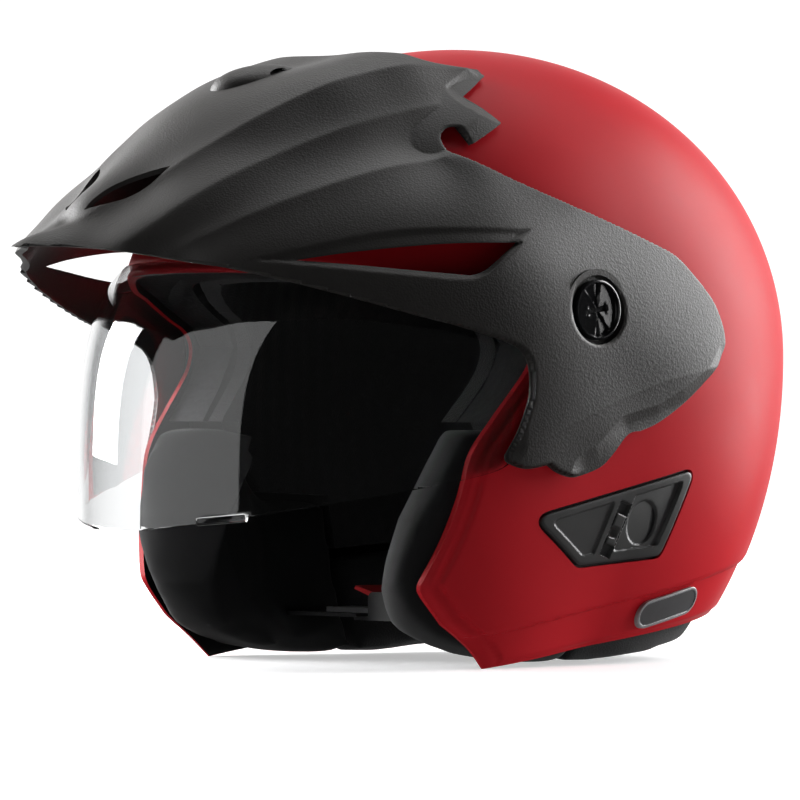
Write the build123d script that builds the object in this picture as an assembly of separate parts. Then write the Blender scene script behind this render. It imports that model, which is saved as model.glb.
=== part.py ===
from build123d import *
import os
from math import cos, hypot, pi, radians, sin, tan

import numpy as np

# Open-face motorcycle helmet with a sun peak and a clear visor. Millimetres.
# Frame: the wearer faces -Y, +X is the wearer's left, +Z is up. The origin is under the middle of
# the helmet, on the plane that the lower rim's front corners, the cheek pads and neck roll stand on.

# ---- driving dimensions ---------------------------------------------------------------------
DOME_CENTRE = (0.0, 47.0, 126.0)
HALF_WIDTH = 119.6          # outer shell, at the temples
FRONT_DEPTH = 148.3         # dome centre to forehead
REAR_DEPTH = 139.2          # dome centre to back of head
CROWN_HEIGHT = 128.0        # dome centre to crown
REAR_DROP = 174.4           # how far the back would close below the dome centre
CHEEK_DROP = 209.5          # the same for the straighter cheeks
DOME_POWER = 2.034
PLAN_POWER = 2.273
CHEEK_PLAN_POWER = 3.104

SHELL_WALL = 4.5
BAND_STEP = 2.0             # the lower band stands this far inside the shell's face
RIM_PIVOT_Y = -15.5         # the lower rim meets z = 0 here
RIM_SLOPE = tan(radians(7.6))
BAND_HEIGHT = 16.2          # height of the band's top line at y = 0
BAND_SLOPE = 0.173

PIVOT_Y, PIVOT_Z = 13.0, 144.0   # peak screw and visor pivot axis, along X
VISOR_X = 121.9             # outer face of the visor at its pivots
VISOR_WALL = 1.6
VISOR_REACH = 146.0         # pivot line to the visor's lower front edge
VISOR_POWER = 1.745
VISOR_BOTTOM_Z = 57.0

PEAK_WALL = 3.2
PEAK_GAP = 1.2              # least air between the peak and the shell
SCREW_HEAD_RADIUS = 12.0
STRAP_Y = 16.0
STRAP_WIDTH = 20.0
STRAP_Z = 19.5
# Square to the left cheek at the strap's rivet: local y runs up the cheek, local z points out.
STRAP_ANCHOR = Plane(origin=(110.9, STRAP_Y, 58.0), x_dir=(0, 1, 0), z_dir=(0.960, 0, -0.279))
SIDES = {"left": 1, "right": -1}


def out(part, name):
    """Write one sub-part."""
    export_step(part, os.path.join("parts", name + ".step"))


def smooth_step(value):
    value = min(max(value, 0.0), 1.0)
    return value * value * (3 - 2 * value)


# ---- surfaces -------------------------------------------------------------------------------
def shell_radius(x, y, z, inset=0.0):
    """Distance from the dome centre to the shell's face along the unit direction x, y, z."""
    front = smooth_step(-y / (hypot(x, y) + 1e-9) / 0.6)
    low = smooth_step(-z / 0.45)
    power = PLAN_POWER + (CHEEK_PLAN_POWER - PLAN_POWER) * low * front
    depth = FRONT_DEPTH if y < 0 else REAR_DEPTH
    if z > 0:
        height = CROWN_HEIGHT - inset
    else:
        height = REAR_DROP + (CHEEK_DROP - REAR_DROP) * front - 0.3 * inset
    plan = (abs(x) / (HALF_WIDTH - inset)) ** power + (abs(y) / (depth - inset)) ** power
    total = plan ** (DOME_POWER / power) + (abs(z) / height) ** DOME_POWER
    return total ** (-1 / DOME_POWER)


def reach(radius, angle, z):
    """Horizontal distance from the dome's axis to the surface at one angle and height."""
    low, high = 0.0, 400.0
    rise = z - DOME_CENTRE[2]
    for _ in range(36):
        middle = (low + high) / 2
        length = hypot(middle, rise)
        if length < radius(middle * cos(angle) / length, middle * sin(angle) / length, rise / length):
            low = middle
        else:
            high = middle
    return (low + high) / 2


def lofted(half_width_at, floor, top, centre_y, around, levels):
    """Solid through closed level curves; half_width_at(angle, z) gives each curve."""
    wires = []
    for level in range(levels + 1):
        z = floor + (top - floor) * sin(level / levels * pi / 2)
        points = []
        for step in range(around):
            angle = 2 * pi * step / around - pi / 2
            distance = half_width_at(angle, z)
            points.append(Vector(distance * cos(angle), centre_y + distance * sin(angle), z))
        knots = [step / around for step in range(around + 1)]
        wires.append(Wire([Edge.make_spline(points, periodic=True, parameters=knots)]))
    return Solid.make_loft(wires, ruled=False)


def dome(inset):
    """The shell's outside moved inwards by inset, closed below the rim and nearly at the crown."""
    def half_width_at(angle, z):
        return reach(lambda x, y, z: shell_radius(x, y, z, inset), angle, z)
    top = DOME_CENTRE[2] + CROWN_HEIGHT - inset
    return lofted(half_width_at, -15.0, top - 0.35, DOME_CENTRE[1], 24, 12)


def side_prism(points, x_from, x_to):
    """Side-view outline (y, z) pulled along X."""
    face = make_face(Plane.YZ * Polyline(*points, close=True))
    return Pos(x_from, 0, 0) * extrude(face, amount=x_to - x_from, dir=(1, 0, 0))


def rim_z(y):
    return (y - RIM_PIVOT_Y) * RIM_SLOPE


def band_z(y):
    return BAND_HEIGHT + BAND_SLOPE * y


def mirrored(part, side):
    return part if side > 0 else mirror(part, about=Plane.YZ)


# ---- peak surface ---------------------------------------------------------------------------
# Each line is (x, y, z) on one half of the peak, from the front backwards.
PEAK_EDGE = [(0, -184, 168.6), (16.5, -169, 168.6), (39, -153, 165.9), (61, -135.4, 161.7),
             (87, -108.7, 153.9), (110.3, -68.8, 142), (118, -50, 137), (124, -29.7, 130.6),
             (125.4, -20.8, 122), (124, -19.5, 108), (121.5, -24, 93), (121, -18, 81)]
PEAK_CHANNEL_FLOOR = [(52, -139.3, 168.1), (66, -108, 184.4), (74, -82, 193.8), (80, -51.6, 201.9),
                      (84, -31.6, 205.5)]
PEAK_CHANNEL_LIP = [(35, -155.3, 170), (42, -134, 185), (48, -113, 197), (53, -91, 206.5),
                    (58, -68.8, 215), (63, -37.3, 223.5), (65, -20, 227), (68, 0, 228)]
PEAK_RIDGE = [(8, -155.5, 181), (16, -139.4, 190), (25, -123.2, 201), (31, -106, 212),
              (36, -90.4, 221), (40, -74, 229), (44, -57.3, 236), (47, -39.7, 240.7),
              (50, -22.7, 244), (54, 6, 243.5)]
PEAK_MIDDLE = [(0, -165, 177), (0, -154, 184), (0, -139, 198), (0, -112, 217), (0, -95, 228),
               (0, -70, 238.5), (0, -40, 244.5)]
PEAK_WING = [(127, 13, 144), (127.5, 35, 135), (126, 0, 110), (125.5, 30, 110), (122, 5, 80),
             (124, 25, 88), (124.6, 50, 100), (124, 78, 118), (122.4, 84.5, 140), (121, 71, 158.5),
             (118.3, 50, 172), (114.7, 28.6, 180.6), (109, 9, 188.5), (99.5, -10, 197.5),
             (87.5, -26, 206), (127.2, -5, 140), (121, -30, 160), (122, 5, 165)]
PEAK_FREE = [(0, -178, 120), (70, -125, 120), (104, -70, 105), (112, -40, 70), (95, -20, 20)]
WING_STANDOFF = 4.6


def peak_guides():
    half = PEAK_EDGE + PEAK_CHANNEL_FLOOR + PEAK_CHANNEL_LIP + PEAK_RIDGE + PEAK_MIDDLE
    half = half + PEAK_WING + PEAK_FREE
    directions, radii = [], []
    for x, y, z in half:
        offset = np.array([x, y - DOME_CENTRE[1], z - DOME_CENTRE[2]])
        length = np.linalg.norm(offset)
        for side in ((1, -1) if x else (1,)):
            directions.append(offset / length * (side, 1, 1))
            radii.append(length)
    # Behind the screws the peak follows the shell.
    for bearing in range(-80, 261, 20):
        for rise in (-60, -35, 0, 30, 55, 78):
            along = cos(radians(rise))
            direction = (along * cos(radians(bearing)), along * sin(radians(bearing)), sin(radians(rise)))
            behind = direction[1] > 0.45 or (direction[1] > -0.25 and direction[2] > 0.75)
            if behind or (rise < -50 and direction[1] > -0.1):
                directions.append(np.array(direction))
                radii.append(shell_radius(*direction) + WING_STANDOFF)
    return np.array(directions), np.array(radii)


GUIDE_DIRECTIONS, GUIDE_RADII = peak_guides()


def solve_peak():
    """Weights of a cubic radial-basis surface through the guide points."""
    count = len(GUIDE_RADII)
    spread = np.linalg.norm(GUIDE_DIRECTIONS[:, None] - GUIDE_DIRECTIONS[None], axis=2) ** 3
    plane = np.hstack([np.ones((count, 1)), GUIDE_DIRECTIONS])
    system = np.block([[spread + 0.000001 * np.eye(count), plane], [plane.T, np.zeros((4, 4))]])
    return np.linalg.solve(system, np.concatenate([GUIDE_RADII, np.zeros(4)]))


PEAK_WEIGHTS = solve_peak()


def peak_radius(x, y, z, inset=0.0):
    direction = np.array([x, y, z])
    spread = np.linalg.norm(GUIDE_DIRECTIONS - direction, axis=1) ** 3
    count = len(spread)
    value = spread @ PEAK_WEIGHTS[:count] + PEAK_WEIGHTS[count] + direction @ PEAK_WEIGHTS[count + 1:]
    return max(float(value), shell_radius(x, y, z) + PEAK_GAP + PEAK_WALL) - inset


def peak_dome(inset, top):
    def half_width_at(angle, z):
        return reach(lambda x, y, z: peak_radius(x, y, z, inset), angle, z)
    return lofted(half_width_at, 62.0, top, DOME_CENTRE[1], 60, 16)


# ---- outlines in side view (y, z) -----------------------------------------------------------
FACE_OPENING = [(-230, -40), (-15.5, -40), (-15.5, 0), (-24.5, 8.5), (-37.7, 18.1), (-48, 29.7),
                (-49.5, 33.2), (-49, 36.6), (-46.8, 44.5), (-44.2, 53.6), (-40.1, 70.4), (-36.5, 86.3),
                (-27, 100), (-15.5, 114), (-11, 122), (-7.5, 130), (-12, 136.2), (-23.5, 141),
                (-42, 147.9), (-58, 151.8), (-97, 159), (-230, 163)]
LOWER_WING = [(-26.5, 83), (-18, 80.5), (-8, 82), (-2.5, 79), (5, 77), (11, 78), (19.6, 81),
              (25, 85.5), (33, 94), (40, 95.5), (50, 99), (64, 107), (78.5, 118), (84.5, 126),
              (86, 133), (84.5, 140), (80, 149), (71, 158.5), (61.6, 167), (50, 172), (28.6, 180.6),
              (9, 188.5), (-10, 197.5), (-25, 206)]
PEAK_OUTLINE = ([(-200, 168.6), (-169, 168.6), (-153, 166), (-135, 161.7), (-109, 154), (-69, 142),
                 (-50, 137), (-30, 130.6), (-24, 127), (-20.8, 122), (-19.3, 114), (-19.6, 107),
                 (-23, 96)]
                + LOWER_WING
                + [(-27.5, 209), (-26, 214.5), (-21, 217), (-20, 210.5), (-1, 219.6), (-4, 227),
                   (-9.8, 233.6), (10, 239.5), (11.5, 243), (-8, 246.2), (-16, 249.8), (-120, 262), (-200, 262)])
SIDE_WINDOW = [(-107, 163), (-85, 166.5), (-52, 169.8), (-21, 170.6), (-28, 165.8), (-38, 159.2),
               (-44.5, 157.3), (-64, 159), (-86, 161.2)]
VENT_PLATE = [(-4.5, 58.5), (-2, 62), (73, 78.8), (75.5, 77), (64.8, 46), (61.5, 44.5), (21.5, 41.5),
              (17.5, 43)]
CHEEK_PAD = [(-34.5, 97.5), (-43, 86), (-51, 67), (-56, 54.6), (-58, 42), (-53.5, 31), (-46, 20.5),
             (-36, 12.5), (-22, 7.5), (-6, 3.5), (10, 0.6), (37, 0), (37, 66), (-1.5, 67.5), (-13.5, 97.5)]
SLOT_TOP, SLOT_BOTTOM = (39.8, 66.5), (33.2, 45.0)     # vent slider's slot, centre line
SLOT_WIDTH = 6.0


def grown(points, margin):
    """The outline moved outwards by margin."""
    face = make_face(Plane.XY * Polyline(*points, close=True))
    wire = offset(face, amount=margin, kind=Kind.INTERSECTION)
    return wire


def side_face_prism(sketch, x_from, x_to):
    """A sketch drawn as (y, z) in the XY plane, stood in the YZ plane and pulled along X."""
    face = Plane.YZ * sketch
    return Pos(x_from, 0, 0) * extrude(face, amount=x_to - x_from, dir=(1, 0, 0))


# ---- shell and liners -----------------------------------------------------------------------
OUTER = dome(0)
INNER = dome(SHELL_WALL)
BAND_FACE = dome(BAND_STEP)
HALF_SPACE_WIDE = 200.0


def below_line(height_at):
    """Everything below a sloping line seen from the side."""
    return side_prism([(-260, -60), (260, -60), (260, height_at(260)), (-260, height_at(-260))],
                      -HALF_SPACE_WIDE, HALF_SPACE_WIDE)


def pivot_cylinder(radius, x_from, x_to):
    """A cylinder along X on the wearer's left, centred on the screw and visor axis."""
    turned = Plane(origin=(x_from, PIVOT_Y, PIVOT_Z), x_dir=(0, 1, 0), z_dir=(1, 0, 0))
    return turned * Cylinder(radius, x_to - x_from, align=(Align.CENTER, Align.CENTER, Align.MIN))


def strap_rivet_cylinder(radius, start, end):
    """A cylinder square to the cheek, from one depth outside the shell's face to another."""
    solid = Cylinder(radius, end - start, align=(Align.CENTER, Align.CENTER, Align.MIN))
    return STRAP_ANCHOR * Pos(0, 0, start) * solid


def make_outer_shell():
    shell = OUTER - INNER
    above_band = shell - below_line(band_z)
    band = (shell & BAND_FACE) & below_line(band_z)
    shell = above_band + band
    shell = shell - below_line(rim_z)
    shell = shell - side_prism(FACE_OPENING, -HALF_SPACE_WIDE, HALF_SPACE_WIDE)
    pocket = side_face_prism(grown(VENT_PLATE, 1.0), 60, 140) - dome(3.0)
    for side in SIDES.values():
        shell = shell - mirrored(pocket, side)
        shell = shell - mirrored(pivot_cylinder(4.7, 90, 130), side)
        shell = shell - mirrored(strap_rivet_cylinder(2.3, -12, 2), side)
    return shell


def lining(outer_inset, inner_inset, margin):
    """A layer under the shell, cut back from the face opening and resting above the pads."""
    layer = dome(outer_inset) - dome(inner_inset)
    layer = layer - side_face_prism(grown(FACE_OPENING, margin), -HALF_SPACE_WIDE, HALF_SPACE_WIDE)
    for side in SIDES.values():
        layer = layer - mirrored(pivot_cylinder(9.5, 100, 120), side)
    lower = [(-60, -60), (-60, 99), (-10.5, 99), (1.5, 69.5), (39, 67.5), (39, 45), (250, 60), (250, -60)]
    return layer - side_prism(lower, -HALF_SPACE_WIDE, HALF_SPACE_WIDE)


def strap_channel(margin):
    """Room for the chin strap and its hanger behind and through a cheek pad, on the left."""
    y_low, y_high = STRAP_Y - STRAP_WIDTH / 2 - margin, STRAP_Y + STRAP_WIDTH / 2 + margin
    outline = [(125, 72), (94, 72), (94, 52), (86, 24), (40, 24), (40, 15), (93, 15), (104, 34), (125, 34)]
    face = make_face(Plane.XZ * Polyline(*outline, close=True))
    return Pos(0, y_low, 0) * extrude(face, amount=y_high - y_low, dir=(0, 1, 0))


def make_cheek_pad(side):
    pad = (dome(5.0) - dome(44.0)) & side_prism(CHEEK_PAD, 54, 140)
    pad = pad - strap_channel(1.5)
    return mirrored(pad, side)


def make_neck_roll():
    outline = [(38.5, 0), (62, 0), (128, 8.5), (160, 16), (190, 24), (190, 52), (38.5, 42)]
    return (dome(9.0) - dome(36.0)) & side_prism(outline, -HALF_SPACE_WIDE, HALF_SPACE_WIDE)


# ---- peak -----------------------------------------------------------------------------------
def nostril_cutter():
    """Lens-shaped slot near the peak's tip, on the left."""
    low, high = Vector(5.2, -151.6, 181.6), Vector(23, -123.1, 201.2)
    along = (high - low).normalized()
    plane = Plane(origin=(low + high) * 0.5, x_dir=along, z_dir=Vector(0.25, -0.6, 0.75).cross(along).cross(along) * -1)
    return plane * extrude(Ellipse((high - low).length / 2, 4.4), amount=22, both=True)


def make_peak():
    peak = peak_dome(0.0, 254.0) - peak_dome(PEAK_WALL, 252.5)
    peak = peak & side_prism(PEAK_OUTLINE, -HALF_SPACE_WIDE, HALF_SPACE_WIDE)
    peak = peak - dome(-PEAK_GAP)
    for side in SIDES.values():
        peak = peak + mirrored(pivot_cylinder(16.0, 122.6, 126.0), side)
        peak = peak - mirrored(pivot_cylinder(12.9, 124.6, 140), side)
        peak = peak - mirrored(pivot_cylinder(4.0, 110, 140), side)
        peak = peak - mirrored(side_prism(SIDE_WINDOW, 50, 140), side)
        peak = peak - mirrored(nostril_cutter(), side)
    return peak


def make_scoop_cover():
    """Low air scoop on the crest of the peak, with a slit on each side."""
    place = Pos(0, -62, 236.8) * Rot(14, 0, 0)
    body = place * scale(Sphere(1), by=(13, 21, 7.4))
    hollow = place * scale(Sphere(1), by=(10.5, 18, 5.6))
    slits = place * Pos(0, 5, 3.2) * scale(Sphere(1), by=(18, 7, 2.0))
    return (body - hollow - slits) - peak_dome(-0.25, 256.0)


def make_peak_stud():
    """Nylon post that holds the peak's middle off the shell."""
    plane = Plane(origin=(0, -44.5, 236), x_dir=(1, 0, 0), z_dir=(0, -0.48, 0.877))
    post = plane * Cylinder(5, 60)
    return post & peak_dome(PEAK_WALL + 0.25, 252.0) - dome(-0.25)


def make_peak_screw(side):
    head = pivot_cylinder(SCREW_HEAD_RADIUS, 124.75, 128.6)
    head = fillet(head.edges().group_by(Axis.X)[-1], 1.2)
    shank = pivot_cylinder(3.9, 119.5, 124.75) + pivot_cylinder(2.45, 109.0, 119.5)
    slot = Pos(128.6, PIVOT_Y, PIVOT_Z) * Rot(10, 0, 0) * Box(3.2, 11.0, 1.8)
    return mirrored(head + shank - slot, side)


def make_screw_nut(side):
    nut = pivot_cylinder(8.5, 107.8, 109.8) + pivot_cylinder(4.5, 109.8, 117.3)
    return mirrored(nut - pivot_cylinder(2.5, 100, 130), side)


# ---- visor ----------------------------------------------------------------------------------
def visor_reach(angle, z, inset):
    """Level curve of the visor about the pivot line; it leans back towards its top."""
    lean = ((z - VISOR_BOTTOM_Z) / 138.0) ** 4 if z > VISOR_BOTTOM_Z else 0.0
    depth = VISOR_REACH * (1 - lean) ** 0.5 - inset
    narrow = ((z - PIVOT_Z) / 80.0) ** 2 if z > PIVOT_Z else 0.0
    width = VISOR_X * (1 - narrow) ** 0.5 - inset
    total = (abs(cos(angle)) / width) ** VISOR_POWER + (abs(sin(angle)) / depth) ** VISOR_POWER
    return total ** (-1 / VISOR_POWER)


def make_visor():
    walls = []
    for inset, extra in ((0.0, 0.0), (VISOR_WALL, 4.0)):
        walls.append(lofted(lambda angle, z: visor_reach(angle, z, inset), 45 - extra, 176 + extra,
                            PIVOT_Y, 48, 12))
    outline = [(-160, 55.6), (-132.5, 55.9), (-127.5, 57.3), (-108, 62), (-95, 65), (-71.5, 70),
               (-31.5, 79), (-22, 86), (-14, 98), (-6, 120), (-4, 140), (-4.5, 147), (-10, 154),
               (-28, 157), (-55, 153), (-75, 153), (-88, 160), (-96, 164), (-160, 164)]
    visor = (walls[0] - walls[1]) & side_prism(outline, -150, 150)
    for side in SIDES.values():
        arm = side_prism([(-4.5, 128), (13, 134), (13, 153.5), (-4.5, 146.5)], 119.9, VISOR_X - 0.05)
        arm = arm + pivot_cylinder(9.8, 119.9, VISOR_X - 0.05)
        visor = visor + mirrored(arm, side)
        visor = visor - mirrored(pivot_cylinder(6.2, 110, 130), side)
    tab = Pos(46.5, -115.5, 60.6) * Rot(0, 0, 40) * Rot(0, -5, 0) * Box(21, 5.0, 4.0)
    return visor + fillet(tab.edges(), 0.8)


def make_pivot_plate(side):
    """Nylon disc on the shell that carries the visor's bearing boss."""
    plate = pivot_cylinder(15.0, 108, 117.9) - dome(-0.25)
    plate = plate + pivot_cylinder(6.0, 117.5, 122.3)
    plate = plate - pivot_cylinder(4.8, 100, 117.5) - pivot_cylinder(4.0, 117, 130)
    return mirrored(plate, side)


def make_spring_washer(side):
    washer = pivot_cylinder(10.0, 118.1, 119.7) - pivot_cylinder(6.2, 110, 130)
    return mirrored(washer, side)


# ---- vents and badges -----------------------------------------------------------------------
def slot_outline(width, start, end):
    """Rectangle of the given width along the slider's slot, as (y, z) corners."""
    along = Vector(*SLOT_TOP) - Vector(*SLOT_BOTTOM)
    unit = along.normalized()
    across = Vector(-unit.Y, unit.X) * (width / 2)
    base = Vector(*SLOT_BOTTOM)
    corners = [base + unit * start - across, base + unit * end - across,
               base + unit * end + across, base + unit * start + across]
    return [(corner.X, corner.Y) for corner in corners]


SLOT_LENGTH = hypot(SLOT_TOP[0] - SLOT_BOTTOM[0], SLOT_TOP[1] - SLOT_BOTTOM[1])


def make_vent_frame(side):
    plate = make_face(Plane.XY * Polyline(*VENT_PLATE, close=True))
    plate = fillet(plate.vertices(), 1.6)
    frame = side_face_prism(plate, 60, 140) & (dome(-0.9) - dome(1.2))
    border = offset(plate, amount=-4.2, kind=Kind.INTERSECTION)
    frame = frame - (side_face_prism(border, 60, 140) - dome(0.1))
    frame = frame - side_prism(slot_outline(SLOT_WIDTH, 0, SLOT_LENGTH), 60, 140)
    finger = Plane(origin=(100, 51.2, 58.4), x_dir=(0, 1, 0), z_dir=(1, 0, 0)) * Cylinder(8.2, 60)
    frame = frame - (finger - dome(0.75))
    return mirrored(frame, side)


SLIDER_START, SLIDER_END = 4.8, 17.4


def make_vent_slider(side):
    block = side_prism(slot_outline(SLOT_WIDTH - 0.6, SLIDER_START, SLIDER_END), 60, 140)
    slider = block & (dome(-0.6) - dome(2.2))
    grip = side_prism(slot_outline(SLOT_WIDTH - 0.6, SLIDER_START + 3, SLIDER_START + 7), 60, 140)
    slider = slider + (grip & (dome(-2.4) - dome(1.0)))
    return mirrored(slider, side)


def badge_sketch(margin):
    return Pos(80, 22.9) * Rot(0, 0, 12) * SlotOverall(36 + 2 * margin, 11.6 + 2 * margin)


def make_badge(side):
    badge = side_face_prism(badge_sketch(0), 40, 140) & (dome(0.3) - dome(BAND_STEP - 0.2))
    return mirrored(badge, side)


# ---- chin strap and buckle ------------------------------------------------------------------
def front_view_strip(line, thickness, width):
    """A strip of even thickness along a line drawn as (x, z), centred on the strap's middle."""
    start = Plane(origin=(0, STRAP_Y + width / 2, 0), x_dir=(1, 0, 0), z_dir=(0, -1, 0))
    return start * extrude(trace(line, thickness), amount=width)


def strap_along(points, radii, side):
    """Webbing pulled from a centre line in front view (x, z)."""
    return mirrored(front_view_strip(FilletPolyline(*points, radius=radii), 1.5, STRAP_WIDTH), side)


def make_chin_strap(side):
    if side > 0:
        return strap_along([(101.2, 55.5), (90.7, STRAP_Z), (29, STRAP_Z)], 6, side)
    return strap_along([(101.2, 55.5), (90.4, STRAP_Z - 1), (17.0, STRAP_Z - 1)], 6, side)


def make_strap_hanger(side):
    plate = extrude(RectangleRounded(22, 15, 3), amount=1.5)
    plate = STRAP_ANCHOR * Pos(0, -2, -7.6) * plate
    return mirrored(plate - strap_rivet_cylinder(2.3, -12, 2), side)


def make_strap_rivet(side):
    rivet = strap_rivet_cylinder(2.2, -8.0, -2.0) + strap_rivet_cylinder(4.0, -2.25, -1.3)
    rivet = rivet + strap_rivet_cylinder(3.4, -8.9, -7.7)
    return mirrored(rivet, side)


BUCKLE_PIN = (14.0, 25.2)    # x, z of the lever's hinge, along Y


def buckle_cylinder(radius, length):
    plane = Plane(origin=(BUCKLE_PIN[0], STRAP_Y, BUCKLE_PIN[1]), x_dir=(1, 0, 0), z_dir=(0, 1, 0))
    return plane * Cylinder(radius, length)


def make_buckle_body():
    base = Pos(6, STRAP_Y, 17.4) * Box(44, 24, 1.4)
    body = base
    for edge in (-1, 1):
        cheek = Pos(6, STRAP_Y + edge * 11.3, 23.0) * Box(26, 1.4, 11)
        body = body + fillet(cheek.edges().filter_by(Axis.Y).group_by(Axis.Z)[-1], 3)
    return body - buckle_cylinder(1.6, 40)


def make_buckle_tongue():
    tooth, pitch = 1.1, 2.6
    outline = [(-40, 19.5), (-40, 21.6), (-12, 21.6)]
    for step in range(8):
        start = -12 + pitch * step
        outline += [(start + 0.2, 21.6 + tooth), (start + pitch, 21.6)]
    outline += [(11, 20.4), (10, 19.5)]
    face = make_face(Plane.XZ * Polyline(*outline, close=True))
    return Pos(0, STRAP_Y + 7, 0) * extrude(face, amount=14, dir=(0, -1, 0))


def make_buckle_lever():
    outline = [(17.2, 24.0), (16.2, 27.6), (-6, 28.4), (-17, 31.0), (-18, 29.6), (-7, 26.4), (2.2, 26.2),
               (2.6, 23.2), (4.8, 23.2), (7.4, 25.6), (11.6, 25.4), (12.6, 23.2), (15.8, 22.6)]
    face = make_face(Plane.XZ * Polyline(*outline, close=True))
    lever = Pos(0, STRAP_Y + 10.2, 0) * extrude(face, amount=20.4, dir=(0, -1, 0))
    return lever - buckle_cylinder(1.62, 40)


def make_buckle_pin():
    return buckle_cylinder(1.5, 26.0)


def make_buckle_spring():
    """Leaf that presses the lever down onto the teeth."""
    return front_view_strip(Polyline((22.5, 20.6), (17.0, 18.8), (13.4, 21.0)), 0.5, 8)


def make_chin_pad():
    pad = Pos(41, STRAP_Y, 23.1) * Box(22, 23, 4.8)
    return fillet(pad.edges(), 1.8)


# ---- build ----------------------------------------------------------------------------------
os.makedirs("parts", exist_ok=True)
SINGLE = {"outer_shell": make_outer_shell, "eps_liner": lambda: lining(5.0, 27.5, 3.0),
          "crown_liner": lambda: lining(28.0, 38.0, 4.0), "neck_roll": make_neck_roll,
          "peak": make_peak, "scoop_cover": make_scoop_cover, "peak_centre_stud": make_peak_stud,
          "visor": make_visor, "buckle_body": make_buckle_body, "buckle_tongue": make_buckle_tongue,
          "buckle_lever": make_buckle_lever, "buckle_pin": make_buckle_pin,
          "buckle_spring": make_buckle_spring, "chin_pad": make_chin_pad}
PAIRED = {"cheek_pad": make_cheek_pad, "peak_screw": make_peak_screw, "screw_nut": make_screw_nut,
          "visor_pivot_plate": make_pivot_plate, "spring_washer": make_spring_washer,
          "vent_frame": make_vent_frame, "vent_slider": make_vent_slider, "badge": make_badge,
          "chin_strap": make_chin_strap, "strap_hanger": make_strap_hanger,
          "strap_rivet": make_strap_rivet}
for node, make in SINGLE.items():
    out(make(), node)
for node, make in PAIRED.items():
    for hand, sign in SIDES.items():
        out(make(sign), node + "_" + hand)
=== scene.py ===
"""Looks of the open-face motorcycle helmet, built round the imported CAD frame.

Shapes are worked out in millimetres, in the CAD's own frame, and written to Blender in metres.
Shell, peak and linings are radial surfaces about one centre: a function gives the distance from
DOME_CENTRE in every direction, booleans trim it, and its own slope gives the shading normals.
"""

import math

import bmesh
import bpy
import numpy as np
from mathutils import Matrix, Vector


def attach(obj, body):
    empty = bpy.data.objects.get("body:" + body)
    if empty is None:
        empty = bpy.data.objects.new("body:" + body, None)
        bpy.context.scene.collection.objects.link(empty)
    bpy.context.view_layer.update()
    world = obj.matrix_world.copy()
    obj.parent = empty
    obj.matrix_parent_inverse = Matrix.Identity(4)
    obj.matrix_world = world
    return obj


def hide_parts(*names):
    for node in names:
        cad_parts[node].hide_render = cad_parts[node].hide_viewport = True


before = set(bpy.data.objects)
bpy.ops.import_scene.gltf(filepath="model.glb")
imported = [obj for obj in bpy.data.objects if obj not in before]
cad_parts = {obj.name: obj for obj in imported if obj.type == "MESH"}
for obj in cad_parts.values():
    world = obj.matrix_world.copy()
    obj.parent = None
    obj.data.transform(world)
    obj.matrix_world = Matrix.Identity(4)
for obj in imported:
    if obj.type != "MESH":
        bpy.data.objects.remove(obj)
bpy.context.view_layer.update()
MM = 0.001
FINE = 1.0      # mesh density
CURVE_STEPS, CORNER_STEPS = 6, 7            # straight runs to a stretch of curve, to a corner
SIDES = {"left": 1, "right": -1}
THROUGH = (-200, 200)                       # a cutter's reach along X, right through the helmet

# ---- driving dimensions, mm, as in the CAD --------------------------------------------------
DOME_CENTRE = np.array([0.0, 47.0, 126.0])
HALF_WIDTH, FRONT_DEPTH, REAR_DEPTH = 119.6, 148.3, 139.2
CROWN_HEIGHT, REAR_DROP, CHEEK_DROP = 128.0, 174.4, 209.5
DOME_POWER, PLAN_POWER, CHEEK_PLAN_POWER = 2.034, 2.273, 3.104
SHELL_WALL = 4.5
BAND_STEP, BAND_HEIGHT, BAND_SLOPE = 2.0, 16.2, 0.173
RIM_PIVOT_Y, RIM_SLOPE = -15.5, math.tan(math.radians(7.6))
PIVOT_Y, PIVOT_Z = 13.0, 144.0
PEAK_WALL, PEAK_GAP, WING_STANDOFF, PEAK_DEEPEST = 2.8, 1.3, 4.6, 2.7
SCREW_RADIUS, SCREW_FACE_X, RECESS_RADIUS = 12.0, 127.0, 14.0
VISOR_X, VISOR_WALL, VISOR_REACH, VISOR_POWER, VISOR_BOTTOM_Z = 121.8, 1.6, 146.0, 1.745, 57.0

# Side-view outlines, (y, z). A third value of 0 marks a sharp corner.
FACE_OPENING = [(-230, -120, 0), (-15.5, -120, 0), (-15.5, 0, 0), (-24.5, 8.5), (-37.7, 18.1, 0),
                (-47.2, 28.9), (-49.5, 33.2), (-49, 37.4), (-46.8, 44.5), (-44.2, 53.6),
                (-40.1, 70.4), (-36.5, 86.3), (-27, 100), (-15.5, 114), (-10, 122), (-8.5, 130),
                (-13, 136.6), (-23.5, 141), (-42, 147.9), (-58, 151.8), (-97, 159), (-230, 163, 0)]
LOWER_WING = [(-26.5, 83), (-18, 80.5), (-8, 82, 0), (-2.5, 79), (5, 77), (11, 78), (19.6, 81),
              (25, 85.5), (33, 94), (40, 95.5, 0), (50, 99), (64, 107), (78.5, 118), (84.5, 126),
              (86, 133), (84.5, 140), (80, 149), (71, 158.5), (61.6, 167), (50, 172), (28.6, 180.6),
              (9, 188.5), (-10, 197.5), (-25, 206)]
TAB_AND_HORN = [(-27.5, 209), (-26.5, 214), (-22, 217.5), (-17, 218, 0), (-16.4, 210.3, 0),
                (3, 220.2, 0), (-1, 227.6), (-4.2, 231, 0), (14, 240.3, 0), (14.5, 243, 0)]
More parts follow.
